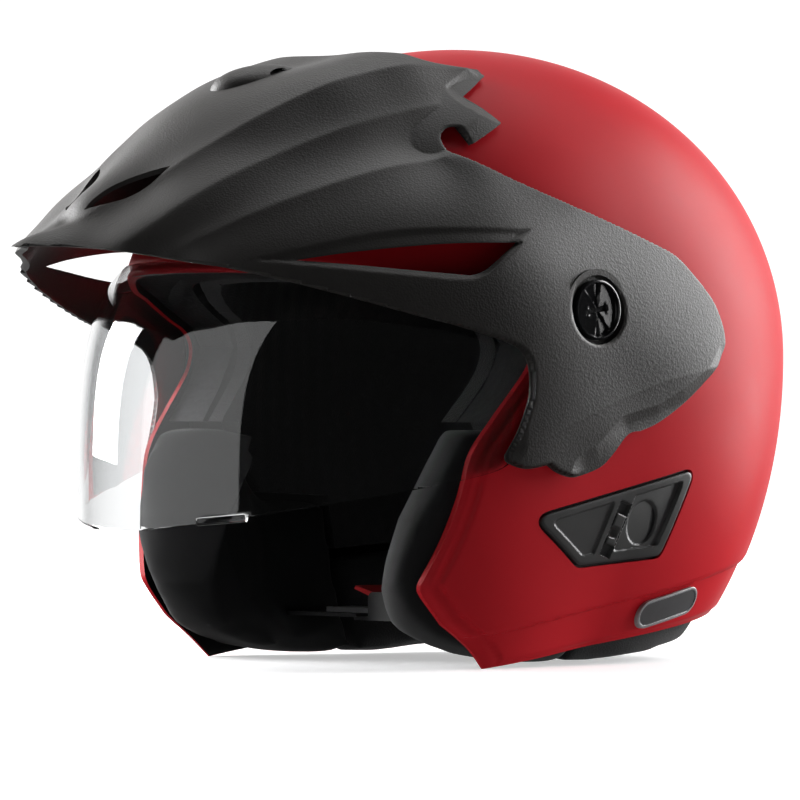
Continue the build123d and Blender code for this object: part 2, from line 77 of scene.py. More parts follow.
PEAK_OUTLINE = ([(-200, 168.6, 0), (-169, 168.6), (-153, 166), (-135, 161.7), (-109, 154),
                 (-69, 142), (-50, 137), (-30, 130.6), (-24, 127), (-20.8, 122), (-19.3, 114),
                 (-19.6, 107), (-23, 96), (-28, 86, 0)]
                + LOWER_WING + TAB_AND_HORN
                + [(-8, 246.2), (-16, 249.8, 0), (-120, 262, 0), (-200, 262, 0)])
SIDE_WINDOW = [(-107, 163, 0), (-85, 166.5), (-52, 169.8), (-21, 170.6, 0), (-28, 165.8),
               (-38, 159.2), (-44.5, 157.3, 0), (-64, 159), (-86, 161.2)]
VENT_PLATE = [(-7.7, 60.7, 3.6), (76.4, 79.6, 3.4), (64.4, 44.7, 3.6), (19.8, 41.4, 7.0)]
SLOT_TOP, SLOT_BOTTOM, SLOT_WIDTH = np.array([39.8, 66.5]), np.array([33.2, 45.0]), 6.0
FINGER_HOLE = np.array([51.2, 58.4])
BADGE_CENTRE, BADGE_TILT, BADGE_LENGTH, BADGE_WIDTH = (80.0, 22.9), math.radians(12), 36.0, 11.6
VISOR_OUTLINE = [(-160, 55.6, 0), (-132.5, 55.9), (-127.5, 57.3), (-108, 62), (-95, 65), (-71.5, 70),
                 (-31.5, 79), (-22, 86), (-14, 98), (-6, 120), (-4, 140), (-4.5, 147, 0), (-10, 154),
                 (-28, 157), (-55, 153), (-75, 153), (-88, 160), (-96, 163.5), (-160, 164, 0)]

# Lines on the left half of the peak, (x, y, z), front to back.
PEAK_EDGE = [(0, -184, 168.6), (16.5, -169, 168.6), (39, -153, 165.9), (61, -135.4, 161.7),
             (87, -108.7, 153.9), (110.3, -68.8, 142), (118, -50, 137), (124, -29.7, 130.6),
             (125.4, -20.8, 122), (124, -19.5, 108), (121.5, -24, 93), (121, -18, 81)]
PEAK_SIDE_CREASE = [(48, -143, 166.5), (58, -127.4, 175.2), (66, -108, 184.4), (74, -82, 193.8),
                    (80, -51.6, 201.9), (84, -31.6, 205.5)]
PEAK_FLANK_CREASE = [(35, -155.3, 170), (42, -134, 185), (48, -113, 197), (53, -91, 206.5),
                     (58, -68.8, 215), (63, -37.3, 223.5), (65, -20, 227), (68, 0, 228)]
PEAK_RIDGE = [(2, -163, 176.5), (8, -155.5, 181), (16, -139.4, 190), (25, -123.2, 201), (31, -106, 212),
              (36, -90.4, 221), (40, -74, 229), (44, -57.3, 236), (47, -39.7, 240.7),
              (50, -22.7, 244), (54, 6, 243.5)]
PEAK_MIDDLE = [(0, -172, 174), (0, -154, 184), (0, -139, 196), (0, -112, 215.5), (0, -95, 227),
               (0, -70, 237.5), (0, -40, 244.5)]
PEAK_WING = [(127, 13, 144), (127.5, 35, 135), (126, 0, 110), (125.5, 30, 110), (122, 5, 80),
             (124, 25, 88), (124.6, 50, 100), (124, 78, 118), (122.4, 84.5, 140), (121, 71, 158.5),
             (118.3, 50, 172), (114.7, 28.6, 180.6), (109, 9, 188.5), (99.5, -10, 197.5),
             (87.5, -26, 206), (127.2, -5, 140), (121, -30, 160), (122, 5, 165)]
PEAK_FREE = [(0, -178, 120), (70, -125, 120), (104, -70, 105), (112, -40, 70), (95, -20, 20)]
# How proud each crease stands (mm) and how far it reaches to each side (mm).
PEAK_CREASES = [(PEAK_RIDGE, 1.6, 7.0), (PEAK_FLANK_CREASE, 2.6, 11.0), (PEAK_SIDE_CREASE, 2.4, 11.0)]
SLOT_LOW, SLOT_HIGH, SLOT_HALF_WIDTH = (5.2, -151.6, 181.6), (23, -123.1, 201.2), 6.2


# ---- small tools ----------------------------------------------------------------------------
def full_turn(count):
    """Evenly spaced angles round a circle."""
    return np.arange(count) * 2 * math.pi / count


def smooth_step(value):
    value = np.clip(value, 0.0, 1.0)
    return value * value * (3 - 2 * value)


def straight(points):
    return np.array(points, float)


def curve_through(points, closed=True):
    """Catmull-Rom line through the points; it turns sharply where a point's third value is 0."""
    count = len(points)
    flat = np.array([point[:2] for point in points], float)
    sharp = [len(point) > 2 for point in points]
    result = []
    for i in range(count if closed else count - 1):
        a, b = flat[i], flat[(i + 1) % count]
        before = a if sharp[i] or (not closed and i == 0) else flat[i - 1]
        last = sharp[(i + 1) % count] or (not closed and i == count - 2)
        after = b if last else flat[(i + 2) % count]
        for step in range(CURVE_STEPS):
            t = step / CURVE_STEPS
            result.append(0.5 * (2 * a + (b - before) * t + (2 * before - 5 * a + 4 * b - after) * t ** 2
                                 + (3 * a - before - 3 * b + after) * t ** 3))
    if not closed:
        result.append(flat[-1])
    return np.array(result)


def distance_to_line(places, line, closed=True):
    """Distance from each place to a polyline, in two or three dimensions."""
    best = np.full(len(places), 1e9)
    ends = np.roll(line, -1, axis=0) if closed else line[1:]
    for start, end in zip(line, ends):
        along = end - start
        share = np.clip((places - start) @ along / max(along @ along, 1e-9), 0, 1)
        best = np.minimum(best, np.linalg.norm(places - start - share[:, None] * along, axis=1))
    return best


def signed_distance(places, line):
    """Distance to a closed outline, positive inside it."""
    distance = distance_to_line(places, line)
    inside = np.zeros(len(places), bool)
    for start, end in zip(line, np.roll(line, -1, axis=0)):
        crosses = (start[1] > places[:, 1]) != (end[1] > places[:, 1])
        share = (places[:, 1] - start[1]) / (end[1] - start[1] + 1e-12)
        inside ^= crosses & (places[:, 0] < start[0] + (end[0] - start[0]) * share)
    return np.where(inside, distance, -distance)


def rounding(distance, radius):
    """Drop of a rounded edge; it runs on past the edge, so a mesh is cut along a smooth line."""
    left = np.maximum(radius - np.maximum(distance, 0), 0)
    return left ** 2 / (2 * radius) + np.clip(-distance, 0, 2.5)


def rounded_corners(corners):
    """Closed outline of straight sides; a corner is (y, z, radius)."""
    flat = np.array([corner[:2] for corner in corners], float)
    result = []
    for i, corner in enumerate(corners):
        back = flat[i - 1] - flat[i]
        ahead = flat[(i + 1) % len(corners)] - flat[i]
        back /= np.linalg.norm(back)
        ahead /= np.linalg.norm(ahead)
        half = math.acos(float(np.clip(back @ ahead, -1, 1))) / 2
        reach = corner[2] / math.tan(half)
        for step in range(CORNER_STEPS + 1):
            share = step / CORNER_STEPS
            result.append(flat[i] + back * reach * (1 - share) ** 2 + ahead * reach * share ** 2)
    return np.array(result)


def rim_z(y):
    return (y - RIM_PIVOT_Y) * RIM_SLOPE


def band_z(y):
    return BAND_HEIGHT + BAND_SLOPE * y


OPENING_LINE = curve_through(FACE_OPENING)
PEAK_LINE = curve_through(PEAK_OUTLINE)
WINDOW_LINE = curve_through(SIDE_WINDOW)
VISOR_LINE = curve_through(VISOR_OUTLINE)


# ---- mesh tools -----------------------------------------------------------------------------
def new_piece(name, points, faces):
    """A smooth-shaded mesh object from points in mm."""
    mesh = bpy.data.meshes.new(name)
    mesh.from_pydata((np.asarray(points) * MM).tolist(), [], [list(face) for face in faces])
    mesh.polygons.foreach_set("use_smooth", [True] * len(mesh.polygons))
    mesh.update()
    piece = bpy.data.objects.new(name, mesh)
    bpy.context.scene.collection.objects.link(piece)
    return piece


def apply_modifiers(piece):
    bpy.context.view_layer.update()
    shown = piece.evaluated_get(bpy.context.evaluated_depsgraph_get())
    mesh = bpy.data.meshes.new_from_object(shown)
    old = piece.data
    piece.modifiers.clear()
    piece.data = mesh
    bpy.data.meshes.remove(old)


def combine(piece, cutter, operation):
    """Cuts, joins or intersects piece with a closed cutter."""
    modifier = piece.modifiers.new("combine", "BOOLEAN")
    modifier.object = cutter
    modifier.operation = operation
    modifier.solver = "MANIFOLD"
    apply_modifiers(piece)
    if not len(piece.data.polygons):
        raise ValueError("nothing left of " + piece.name + " after " + cutter.name)
    bpy.data.objects.remove(cutter)


def cube_sphere(count):
    """Unit directions and outward quads of an evenly divided sphere."""
    ticks = np.tan(np.linspace(-math.pi / 4, math.pi / 4, count + 1))
    u, v = np.meshgrid(ticks, ticks, indexing="ij")
    corners, faces = [], []
    axes = np.eye(3)
    for axis in range(3):
        for sign in (1, -1):
            across, up = axes[(axis + 1) % 3], axes[(axis + 2) % 3]
            if sign < 0:
                across, up = up, across
            start = len(corners) * (count + 1) ** 2
            grid = axes[axis] * sign + u[..., None] * across + v[..., None] * up
            corners.append(grid.reshape(-1, 3))
            i, j = np.meshgrid(np.arange(count), np.arange(count), indexing="ij")
            low = start + i * (count + 1) + j
            faces.append(np.stack([low, low + count + 1, low + count + 2, low + 1], -1).reshape(-1, 4))
    corners = np.concatenate(corners)
    corners /= np.linalg.norm(corners, axis=1)[:, None]
    _, first, where = np.unique(np.round(corners, 6), axis=0, return_index=True, return_inverse=True)
    return corners[first], where.reshape(-1)[np.concatenate(faces)]


def radial_piece(name, radius_at, count):
    """Closed surface at radius_at(directions) round the dome's centre."""
    directions, faces = cube_sphere(int(count * FINE))
    return new_piece(name, DOME_CENTRE + directions * radius_at(directions)[:, None], faces)


def prism(name, line, x_from, x_to):
    """Closed side-view outline (y, z) pulled along X."""
    line = np.asarray(line)
    turn = np.roll(line, -1, axis=0)
    area = np.sum(line[:, 0] * turn[:, 1] - turn[:, 0] * line[:, 1])
    if area < 0:
        line = line[::-1]
    count = len(line)
    near = np.column_stack([np.full(count, x_from), line])
    far = np.column_stack([np.full(count, x_to), line])
    faces = [list(range(count))[::-1], list(range(count, 2 * count))]
    for i in range(count):
        j = (i + 1) % count
        faces.append([i, j, count + j, count + i])
    return new_piece(name, np.concatenate([near, far]), faces)


def pivot_cylinder(name, radius, x_from, x_to):
    """Cylinder on the line through both peak screws."""
    angles = full_turn(96)
    line = np.column_stack([PIVOT_Y + radius * np.cos(angles), PIVOT_Z + radius * np.sin(angles)])
    return prism(name, line, min(x_from, x_to), max(x_from, x_to))


def both_sides(x_from, x_to):
    return ((x_from, x_to), (-x_to, -x_from))


def slope_normals(radius_at, directions):
    """Outward normals of a radial surface, from its own slope."""
    aside = np.where(np.abs(directions[:, 2:]) < 0.9, [[0.0, 0.0, 1.0]], [[1.0, 0.0, 0.0]])
    first = np.cross(aside, directions)
    first /= np.linalg.norm(first, axis=1)[:, None]
    second = np.cross(directions, first)
    places = []
    step = 0.0025
    for tangent, sign in ((first, 1), (first, -1), (second, 1), (second, -1)):
        moved = directions + sign * step * tangent
        moved /= np.linalg.norm(moved, axis=1)[:, None]
        places.append(moved * radius_at(moved)[:, None])
    normal = np.cross(places[0] - places[1], places[2] - places[3])
    return normal / np.linalg.norm(normal, axis=1)[:, None]


def shade_smooth(piece, sharp_degrees=None):
    """Smooth shading, with edges sharper than sharp_degrees left crisp."""
    piece.data.polygons.foreach_set("use_smooth", [True] * len(piece.data.polygons))
    if sharp_degrees:
        piece.data.set_sharp_from_angle(angle=math.radians(sharp_degrees))


def mirrored(piece, side):
    """Moves a left-hand piece over to the right where side is -1."""
    if side < 0:
        piece.data.transform(Matrix.Scale(-1, 4, (1, 0, 0)))
        piece.data.flip_normals()


def face_centres(piece):
    return np.array([polygon.center for polygon in piece.data.polygons]) / MM


def paint_faces(piece, finish, chosen):
    """Gives the chosen faces a second material."""
    piece.data.materials.append(finish)
    piece.data.polygons.foreach_set("material_index", chosen.astype(np.int32))


def shade_by_slope(piece, radius_at):
    """Gives the corners that lie on the radial surface that surface's own normals."""
    mesh = piece.data
    shade_smooth(piece, 38)
    mesh.update()
    places = np.empty(len(mesh.vertices) * 3)
    mesh.vertices.foreach_get("co", places)
    offset = places.reshape(-1, 3) / MM - DOME_CENTRE
    reach = np.linalg.norm(offset, axis=1)
    directions = offset / reach[:, None]
    on_face = np.abs(radius_at(directions) - reach) < 0.06
    smooth = np.zeros_like(directions)
    smooth[on_face] = slope_normals(radius_at, directions[on_face])
    corner_vertex = np.empty(len(mesh.loops), np.int64)
    mesh.loops.foreach_get("vertex_index", corner_vertex)
    plain = np.empty(len(mesh.loops) * 3)
    mesh.corner_normals.foreach_get("vector", plain)
    plain = plain.reshape(-1, 3)
    starts = np.empty(len(mesh.polygons), np.int64)
    totals = np.empty(len(mesh.polygons), np.int64)
    facing = np.empty(len(mesh.polygons) * 3)
    mesh.polygons.foreach_get("loop_start", starts)
    mesh.polygons.foreach_get("loop_total", totals)
    mesh.polygons.foreach_get("normal", facing)
    corner_facing = np.repeat(facing.reshape(-1, 3), totals, axis=0)
    wanted = smooth[corner_vertex]
    use = on_face[corner_vertex] & (np.sum(corner_facing * wanted, axis=1) > 0.8)
    normals = np.where(use[:, None], wanted, plain)
    mesh.normals_split_custom_set(normals.tolist())
    mesh.update()


def finish_piece(piece, material, body, replaced=()):
    """Material, body and the CAD nodes that the piece stands for."""
    piece.data.materials.clear()
    piece.data.materials.append(material)
    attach(piece, body)
    if replaced:
        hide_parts(*replaced)
    return piece


# ---- radial surfaces ------------------------------------------------------------------------
def dome_radius(directions, inset=0.0):
    x, y, z = np.abs(directions[:, 0]), directions[:, 1], directions[:, 2]
    front = smooth_step(-y / (np.hypot(x, y) + 1e-9) / 0.6)
    low = smooth_step(-z / 0.45)
    power = PLAN_POWER + (CHEEK_PLAN_POWER - PLAN_POWER) * low * front
    depth = np.where(y < 0, FRONT_DEPTH, REAR_DEPTH) - inset
    height = np.where(z > 0, CROWN_HEIGHT - inset,
                      REAR_DROP + (CHEEK_DROP - REAR_DROP) * front - 0.3 * inset)
    plan = (x / (HALF_WIDTH - inset)) ** power + (np.abs(y) / depth) ** power
    return (plan ** (DOME_POWER / power) + (np.abs(z) / height) ** DOME_POWER) ** (-1 / DOME_POWER)


def dome_at(inset):
    return lambda directions: dome_radius(directions, inset)


def side_view(directions, radius):
    places = DOME_CENTRE + directions * radius[:, None]
    return places[:, 1:]


LIP_WIDTH, LIP_DEPTH, GROOVE_DEPTH, DEEPEST = 4.6, 0.7, 1.2, 3.3


def shell_face(directions):
    """The painted face: rolled lip round the face opening, set-in lower band, rounded rim."""
    radius = dome_radius(directions)
    seen = side_view(directions, radius)
    from_opening = -signed_distance(seen, OPENING_LINE)
    drop = LIP_DEPTH * (1 - smooth_step((from_opening - LIP_WIDTH) / 1.8))
    drop += GROOVE_DEPTH * np.exp(-((from_opening - LIP_WIDTH) / 1.3) ** 2)
    drop += rounding(from_opening, 2.2)
    above_band = seen[:, 1] - band_z(seen[:, 0])
    drop += BAND_STEP * (1 - smooth_step(above_band / 1.2 + 0.5))
    drop += 0.5 * np.exp(-((above_band - 0.9) / 0.9) ** 2)
    above_rim = (seen[:, 1] - rim_z(seen[:, 0])) * math.cos(math.atan(RIM_SLOPE))
    drop += rounding(above_rim, 1.8)
    return radius - DEEPEST * np.tanh(drop / DEEPEST)


def unit_directions(points):
    offset = np.asarray(points, float) - DOME_CENTRE
    reach = np.linalg.norm(offset, axis=1)
    return offset / reach[:, None], reach


def crease_height(directions):
    """The peak's ridges, as soft-topped tents along their lines."""
    half = directions * 1.0
    half[:, 0] = np.abs(half[:, 0])
    height = np.zeros(len(half))
    for line, proud, width in PEAK_CREASES:
        path, reach = unit_directions(line)
        gap = distance_to_line(half, path, closed=False) * np.mean(reach)
        height += proud * np.exp(-(np.sqrt(gap ** 2 + 0.8) - 0.8 ** 0.5) / width)
    return height


def peak_guides():
    half = PEAK_EDGE + PEAK_SIDE_CREASE + PEAK_FLANK_CREASE + PEAK_RIDGE + PEAK_MIDDLE
    half = half + PEAK_WING + PEAK_FREE
    directions, reach = unit_directions(half)
    off_middle = np.array([point[0] > 0 for point in half])
    directions = np.concatenate([directions, directions[off_middle] * (-1, 1, 1)])
    reach = np.concatenate([reach, reach[off_middle]])
    behind = []
    for bearing in range(-80, 261, 20):
        for rise in (-60, -35, 0, 30, 55, 78):
            level = math.cos(math.radians(rise))
            way = (level * math.cos(math.radians(bearing)), level * math.sin(math.radians(bearing)),
                   math.sin(math.radians(rise)))
            at_back = way[1] > 0.45 or (way[1] > -0.25 and way[2] > 0.75)
            if at_back or (rise < -50 and way[1] > -0.1):
                behind.append(way)
    behind = np.array(behind)
    directions = np.concatenate([directions, behind])
    return directions, np.concatenate([reach, dome_radius(behind) + WING_STANDOFF])


GUIDES, GUIDE_REACH = peak_guides()


def solve_peak():
    """Weights of a cubic radial-basis surface through the guides, less the creases."""
    count = len(GUIDES)
    spread = np.linalg.norm(GUIDES[:, None] - GUIDES[None], axis=2) ** 3
    level = np.hstack([np.ones((count, 1)), GUIDES])
    system = np.block([[spread + 1e-6 * np.eye(count), level], [level.T, np.zeros((4, 4))]])
    return np.linalg.solve(system, np.concatenate([GUIDE_REACH - crease_height(GUIDES), np.zeros(4)]))


PEAK_WEIGHTS = solve_peak()


def peak_radius(directions, inset=0.0):
    count = len(GUIDES)
    value = np.empty(len(directions))
    for start in range(0, len(directions), 20000):
        part = directions[start:start + 20000]
        squared = np.maximum(2 - 2 * part @ GUIDES.T, 0)
        value[start:start + 20000] = (squared ** 1.5 @ PEAK_WEIGHTS[:count] + PEAK_WEIGHTS[count]
                                      + part @ PEAK_WEIGHTS[count + 1:])
    value += crease_height(directions)
    return np.maximum(value, dome_radius(directions) + PEAK_GAP + PEAK_WALL) - inset


REAR_CHAMFER = curve_through(TAB_AND_HORN[4:], closed=False)
WING_CHAMFER = np.array([(13, 78.2), (19.6, 81), (25, 85.5), (33, 94), (50, 99), (64, 107), (78.5, 118),
                         (84.5, 126)])
WING_CREASE = np.array([(-24, 88), (0, 98.4), (24, 108), (50, 116), (76, 121), (90, 122)])
WINDOW_RECESS = curve_through([(-125, 163, 0), (-93, 171), (-68, 175.6), (-42, 176.8), (-11.2, 176.5, 0),
                               (-26, 168.5), (-38, 158), (-48, 155), (-70, 156.8), (-100, 160)])


def peak_face(directions):
    """The grained face of the peak: rounded edges, chamfered tail, creased wing, window recess."""
    radius = peak_radius(directions)
    seen = side_view(directions, radius)
    from_edge = signed_distance(seen, PEAK_LINE)
    drop = rounding(from_edge, 1.3) * smooth_step((seen[:, 0] + 100) / 40)
    drop = np.maximum(drop, rounding(-signed_distance(seen, WINDOW_LINE), 1.2))
    from_screw = np.hypot(seen[:, 0] - PIVOT_Y, seen[:, 1] - PIVOT_Z) - RECESS_RADIUS
    drop = np.maximum(drop, rounding(np.maximum(from_screw, 0), 1.2))
    outward = np.where(from_edge < 0, -1.0, 1.0)
    from_tail = distance_to_line(seen, REAR_CHAMFER, closed=False) * outward
    drop += 0.42 * np.clip(6.5 - from_tail, 0, 8)
    wing_width = 9.5 - 4.5 * np.clip((seen[:, 0] - 20) / 60, 0, 1)
    from_wing_edge = distance_to_line(seen, WING_CHAMFER, closed=False) * outward
    drop += 0.27 * np.clip(wing_width - from_wing_edge, 0, 10)
    under_crease = np.interp(seen[:, 0], WING_CREASE[:, 0], WING_CREASE[:, 1]) - seen[:, 1]
    on_wing = smooth_step((seen[:, 0] + 26) / 6) * smooth_step((150 - seen[:, 1]) / 24)
    drop += on_wing * (0.09 * np.clip(under_crease, 0, 13) - 0.9 * np.exp(-np.abs(under_crease) / 11))
    drop += 1.3 * smooth_step(signed_distance(seen, WINDOW_RECESS) / 2.4)
    return radius + np.log(np.exp(-3 * drop) + math.exp(-3 * PEAK_DEEPEST)) / 3


# ---- materials ------------------------------------------------------------------------------
def material(name, colour, roughness, **settings):
    """Principled material with fine grain in colour, roughness and height."""
    made = bpy.data.materials.new(name)
    made.use_nodes = True
    nodes, links = made.node_tree.nodes, made.node_tree.links
    shader = nodes["Principled BSDF"]
    shader.inputs["Base Color"].default_value = (*colour, 1)
    shader.inputs["Roughness"].default_value = roughness
    for key in ("Metallic", "Sheen Weight", "Sheen Roughness", "Transmission Weight", "IOR",
                "Coat Weight", "Coat Roughness", "Specular IOR Level", "Alpha"):
        if key in settings:
            shader.inputs[key].default_value = settings[key]
    place = nodes.new("ShaderNodeTexCoord").outputs["Object"]
    if settings.get("tone_size"):
        cloud = nodes.new("ShaderNodeTexNoise")
        cloud.inputs["Scale"].default_value = 1 / (settings["tone_size"] * MM)
        cloud.inputs["Detail"].default_value = 3
        links.new(place, cloud.inputs["Vector"])
        mix = nodes.new("ShaderNodeMix")
        mix.data_type = "RGBA"
        share = settings.get("tone_share", 0.15)
        mix.inputs[6].default_value = (*[value * (1 - share) for value in colour], 1)
        mix.inputs[7].default_value = (*[value * (1 + share) for value in colour], 1)
        links.new(cloud.outputs["Fac"], mix.inputs[0])
        links.new(mix.outputs[2], shader.inputs["Base Color"])
        spread = nodes.new("ShaderNodeMapRange")
        spread.inputs["To Min"].default_value = max(roughness - 0.05, 0)
        spread.inputs["To Max"].default_value = roughness + 0.05
        links.new(cloud.outputs["Fac"], spread.inputs["Value"])
        links.new(spread.outputs["Result"], shader.inputs["Roughness"])
    if settings.get("grain_size"):
        kind = settings.get("grain", "noise")
        grain = nodes.new({"cells": "ShaderNodeTexVoronoi", "weave": "ShaderNodeTexWave",
                           "noise": "ShaderNodeTexNoise"}[kind])
        height = grain.outputs["Distance" if kind == "cells" else "Fac"]
        if kind == "weave":
            grain.bands_direction = settings.get("direction", "Z")
            grain.inputs["Distortion"].default_value = 1.5
        elif kind == "noise":
            grain.inputs["Detail"].default_value = 4
        grain.inputs["Scale"].default_value = 1 / (settings["grain_size"] * MM)
        links.new(place, grain.inputs["Vector"])
        bump = nodes.new("ShaderNodeBump")
        bump.inputs["Strength"].default_value = settings.get("grain_strength", 0.3)
        bump.inputs["Distance"].default_value = settings.get("grain_height", 0.1) * MM
        links.new(height, bump.inputs["Height"])
        links.new(bump.outputs["Normal"], shader.inputs["Normal"])
    return made


RED = material("matt_red_paint", (0.52, 0.010, 0.018), 0.46, tone_size=18, tone_share=0.05,
               grain_size=0.5, grain_strength=0.10, grain_height=0.05, **{"Specular IOR Level": 0.1})
PEAK_PLASTIC = material("grained_plastic", (0.034, 0.031, 0.029), 0.50, tone_size=4, tone_share=0.12,
                        grain="cells", grain_size=0.9, grain_strength=0.55, grain_height=0.16)
VENT_PLASTIC = material("satin_grey_plastic", (0.050, 0.050, 0.050), 0.38, tone_size=6, tone_share=0.08,
                        grain_size=0.35, grain_strength=0.2, grain_height=0.04)
DARK_PLASTIC = material("dark_nylon", (0.012, 0.012, 0.013), 0.45, tone_size=5, tone_share=0.15,
                        grain_size=0.4, grain_strength=0.2, grain_height=0.05)
GLOSS_BLACK = material("gloss_black", (0.006, 0.006, 0.007), 0.24, tone_size=9, tone_share=0.06,
                       grain_size=0.3, grain_strength=0.01, grain_height=0.002)
FOAM = material("bead_foam", (0.012, 0.012, 0.013), 0.85, tone_size=3, tone_share=0.25,
                grain="cells", grain_size=3.2, grain_strength=0.6, grain_height=0.4)
LINING = material("knit_lining", (0.008, 0.008, 0.009), 0.92, tone_size=7, tone_share=0.2,
                  grain="cells", grain_size=0.8, grain_strength=0.7, grain_height=0.25,
                  **{"Sheen Weight": 0.1, "Sheen Roughness": 0.5})
PAD_CLOTH = material("pad_cloth", (0.006, 0.006, 0.007), 0.88, tone_size=9, tone_share=0.15,
                     grain="weave", grain_size=0.55, grain_strength=0.25, grain_height=0.08,
                     **{"Sheen Weight": 0.06, "Sheen Roughness": 0.4})
WEBBING = material("woven_webbing", (0.014, 0.014, 0.015), 0.8, tone_size=4, tone_share=0.2,
                   grain="weave", grain_size=1.4, grain_strength=0.8, grain_height=0.3, direction="Y")
STEEL = material("brushed_steel", (0.55, 0.55, 0.56), 0.32, Metallic=1.0, tone_size=2, tone_share=0.08,
                 grain="weave", grain_size=0.25, grain_strength=0.15, grain_height=0.03)
LEVER_RED = material("lever_red", (0.40, 0.012, 0.016), 0.35, tone_size=4, tone_share=0.08,
                     grain_size=0.5, grain_strength=0.1, grain_height=0.04)
BADGE_GREY = material("badge_grey", (0.085, 0.085, 0.088), 0.38, tone_size=4, tone_share=0.1,
                      grain_size=0.3, grain_strength=0.15, grain_height=0.03)
BADGE_RIM = material("badge_rim", (0.30, 0.30, 0.31), 0.30, tone_size=3, tone_share=0.08,
                     grain_size=0.3, grain_strength=0.1, grain_height=0.02)
VISOR_CLEAR = material("clear_visor", (0.96, 0.97, 0.975), 0.0, **{"Transmission Weight": 1.0, "IOR": 1.5})


# ---- outer shell ----------------------------------------------------------------------------
def grown(line, margin):
    """A closed outline moved outwards by margin, corners included."""
    turn = np.roll(line, -1, axis=0)
    area = np.sum(line[:, 0] * turn[:, 1] - turn[:, 0] * line[:, 1])
    before = line - np.roll(line, 1, axis=0)
    after = turn - line
    across = before / (np.linalg.norm(before, axis=1)[:, None] + 1e-9)
    across = across + after / (np.linalg.norm(after, axis=1)[:, None] + 1e-9)
    across /= np.linalg.norm(across, axis=1)[:, None] + 1e-9
    outward = np.column_stack([across[:, 1], -across[:, 0]]) * np.sign(area)
    return line + outward * margin


def below_line(name, height_at):
    ends = [(-260, -120), (260, -120), (260, height_at(260)), (-260, height_at(-260))]
    return prism(name, straight(ends), *THROUGH)


VENT_LINE = rounded_corners(VENT_PLATE)
SHELL_DETAIL, INNER_DETAIL, PEAK_DETAIL, PEAK_INSIDE_DETAIL = 170, 70, 230, 130


def build_shell():
    shell = radial_piece("outer_shell_paint", shell_face, SHELL_DETAIL)
    combine(shell, radial_piece("inside", dome_at(SHELL_WALL), INNER_DETAIL), "DIFFERENCE")
    combine(shell, below_line("rim_cut", rim_z), "DIFFERENCE")
    combine(shell, prism("opening_cut", OPENING_LINE, *THROUGH), "DIFFERENCE")
    for x_from, x_to in both_sides(60, 140):
        pocket = prism("vent_pocket", grown(VENT_LINE, 1.3), x_from, x_to)
        combine(pocket, radial_piece("pocket_floor", dome_at(3.0), INNER_DETAIL), "DIFFERENCE")
        combine(shell, pocket, "DIFFERENCE")
        combine(shell, pivot_cylinder("screw_hole", 4.7, x_from, x_to), "DIFFERENCE")
    shade_by_slope(shell, shell_face)
    finish_piece(shell, RED, "helmet", ["outer_shell"])
    directions, reach = unit_directions(face_centres(shell))
    paint_faces(shell, DARK_PLASTIC, reach < dome_radius(directions, SHELL_WALL - 0.15))


build_shell()


# ---- peak -----------------------------------------------------------------------------------
LENS_REACH = 12.0
SEAT_RADIUS, SEAT_X, RECESS_X, OUTSIDE_X = 16.4, (122.6, 125.8), 123.8, 140


def lens_cutter(name, low, high, half_width):
    """Lens-shaped slot cutter from one point of the peak's face to another."""
    low, high = np.array(low, float), np.array(high, float)
    middle, along = (low + high) / 2, high - low
    half_length = np.linalg.norm(along) / 2
    along /= 2 * half_length
    outward = np.array([0.25 * np.sign(low[0]), -0.6, 0.75])
    across = np.cross(outward, along)
    across /= np.linalg.norm(across)
    outward = np.cross(along, across)
    steps = np.linspace(-1, 1, 25)
    upper = np.column_stack([steps * half_length, half_width * (1 - steps ** 2)])
    lower = np.column_stack([steps[::-1] * half_length, -0.75 * half_width * (1 - steps[::-1] ** 2)])
    ring = np.concatenate([upper, lower[1:-1]])
    points = []
    for shift in (-LENS_REACH, LENS_REACH):
        points += [middle + along * a + across * b + outward * shift for a, b in ring]
    count = len(ring)
    faces = [list(range(count)), list(range(count, 2 * count))[::-1]]
    faces += [[(i + 1) % count, i, count + i, count + (i + 1) % count] for i in range(count)]
    cutter = new_piece(name, points, faces)
    return fix_facing(cutter)


def fix_facing(piece):
    """Turns a closed piece right side out."""
    work = bmesh.new()
    work.from_mesh(piece.data)
    bmesh.ops.recalc_face_normals(work, faces=work.faces)
    if work.calc_volume(signed=True) < 0:
        bmesh.ops.reverse_faces(work, faces=work.faces)
    work.to_mesh(piece.data)
    work.free()
    return piece


def peak_inside(directions):
    return np.minimum(peak_radius(directions, PEAK_WALL), peak_face(directions) - 0.9)


def build_peak():
    peak = radial_piece("peak_cover", peak_face, PEAK_DETAIL)
    combine(peak, radial_piece("peak_inside", peak_inside, PEAK_INSIDE_DETAIL), "DIFFERENCE")
    combine(peak, prism("peak_trim", PEAK_LINE, *THROUGH), "INTERSECT")
    combine(peak, radial_piece("shell_room", dome_at(-PEAK_GAP), INNER_DETAIL), "DIFFERENCE")
    for side in (1, -1):
        outside = side * OUTSIDE_X
        seat = pivot_cylinder("screw_seat", SEAT_RADIUS, side * SEAT_X[0], side * SEAT_X[1])
        combine(peak, seat, "UNION")
        mirror = np.array([side, 1, 1])
        cutters = [pivot_cylinder("screw_recess", RECESS_RADIUS, side * RECESS_X, outside),
                   pivot_cylinder("screw_hole", 4.2, side * 110, outside),
                   prism("window", WINDOW_LINE, *sorted((side * 50, outside))),
                   lens_cutter("slot", SLOT_LOW * mirror, SLOT_HIGH * mirror, SLOT_HALF_WIDTH)]
        for cutter in cutters:
            combine(peak, cutter, "DIFFERENCE")
    shade_by_slope(peak, peak_face)
    finish_piece(peak, PEAK_PLASTIC, "helmet", ["peak"])


build_peak()


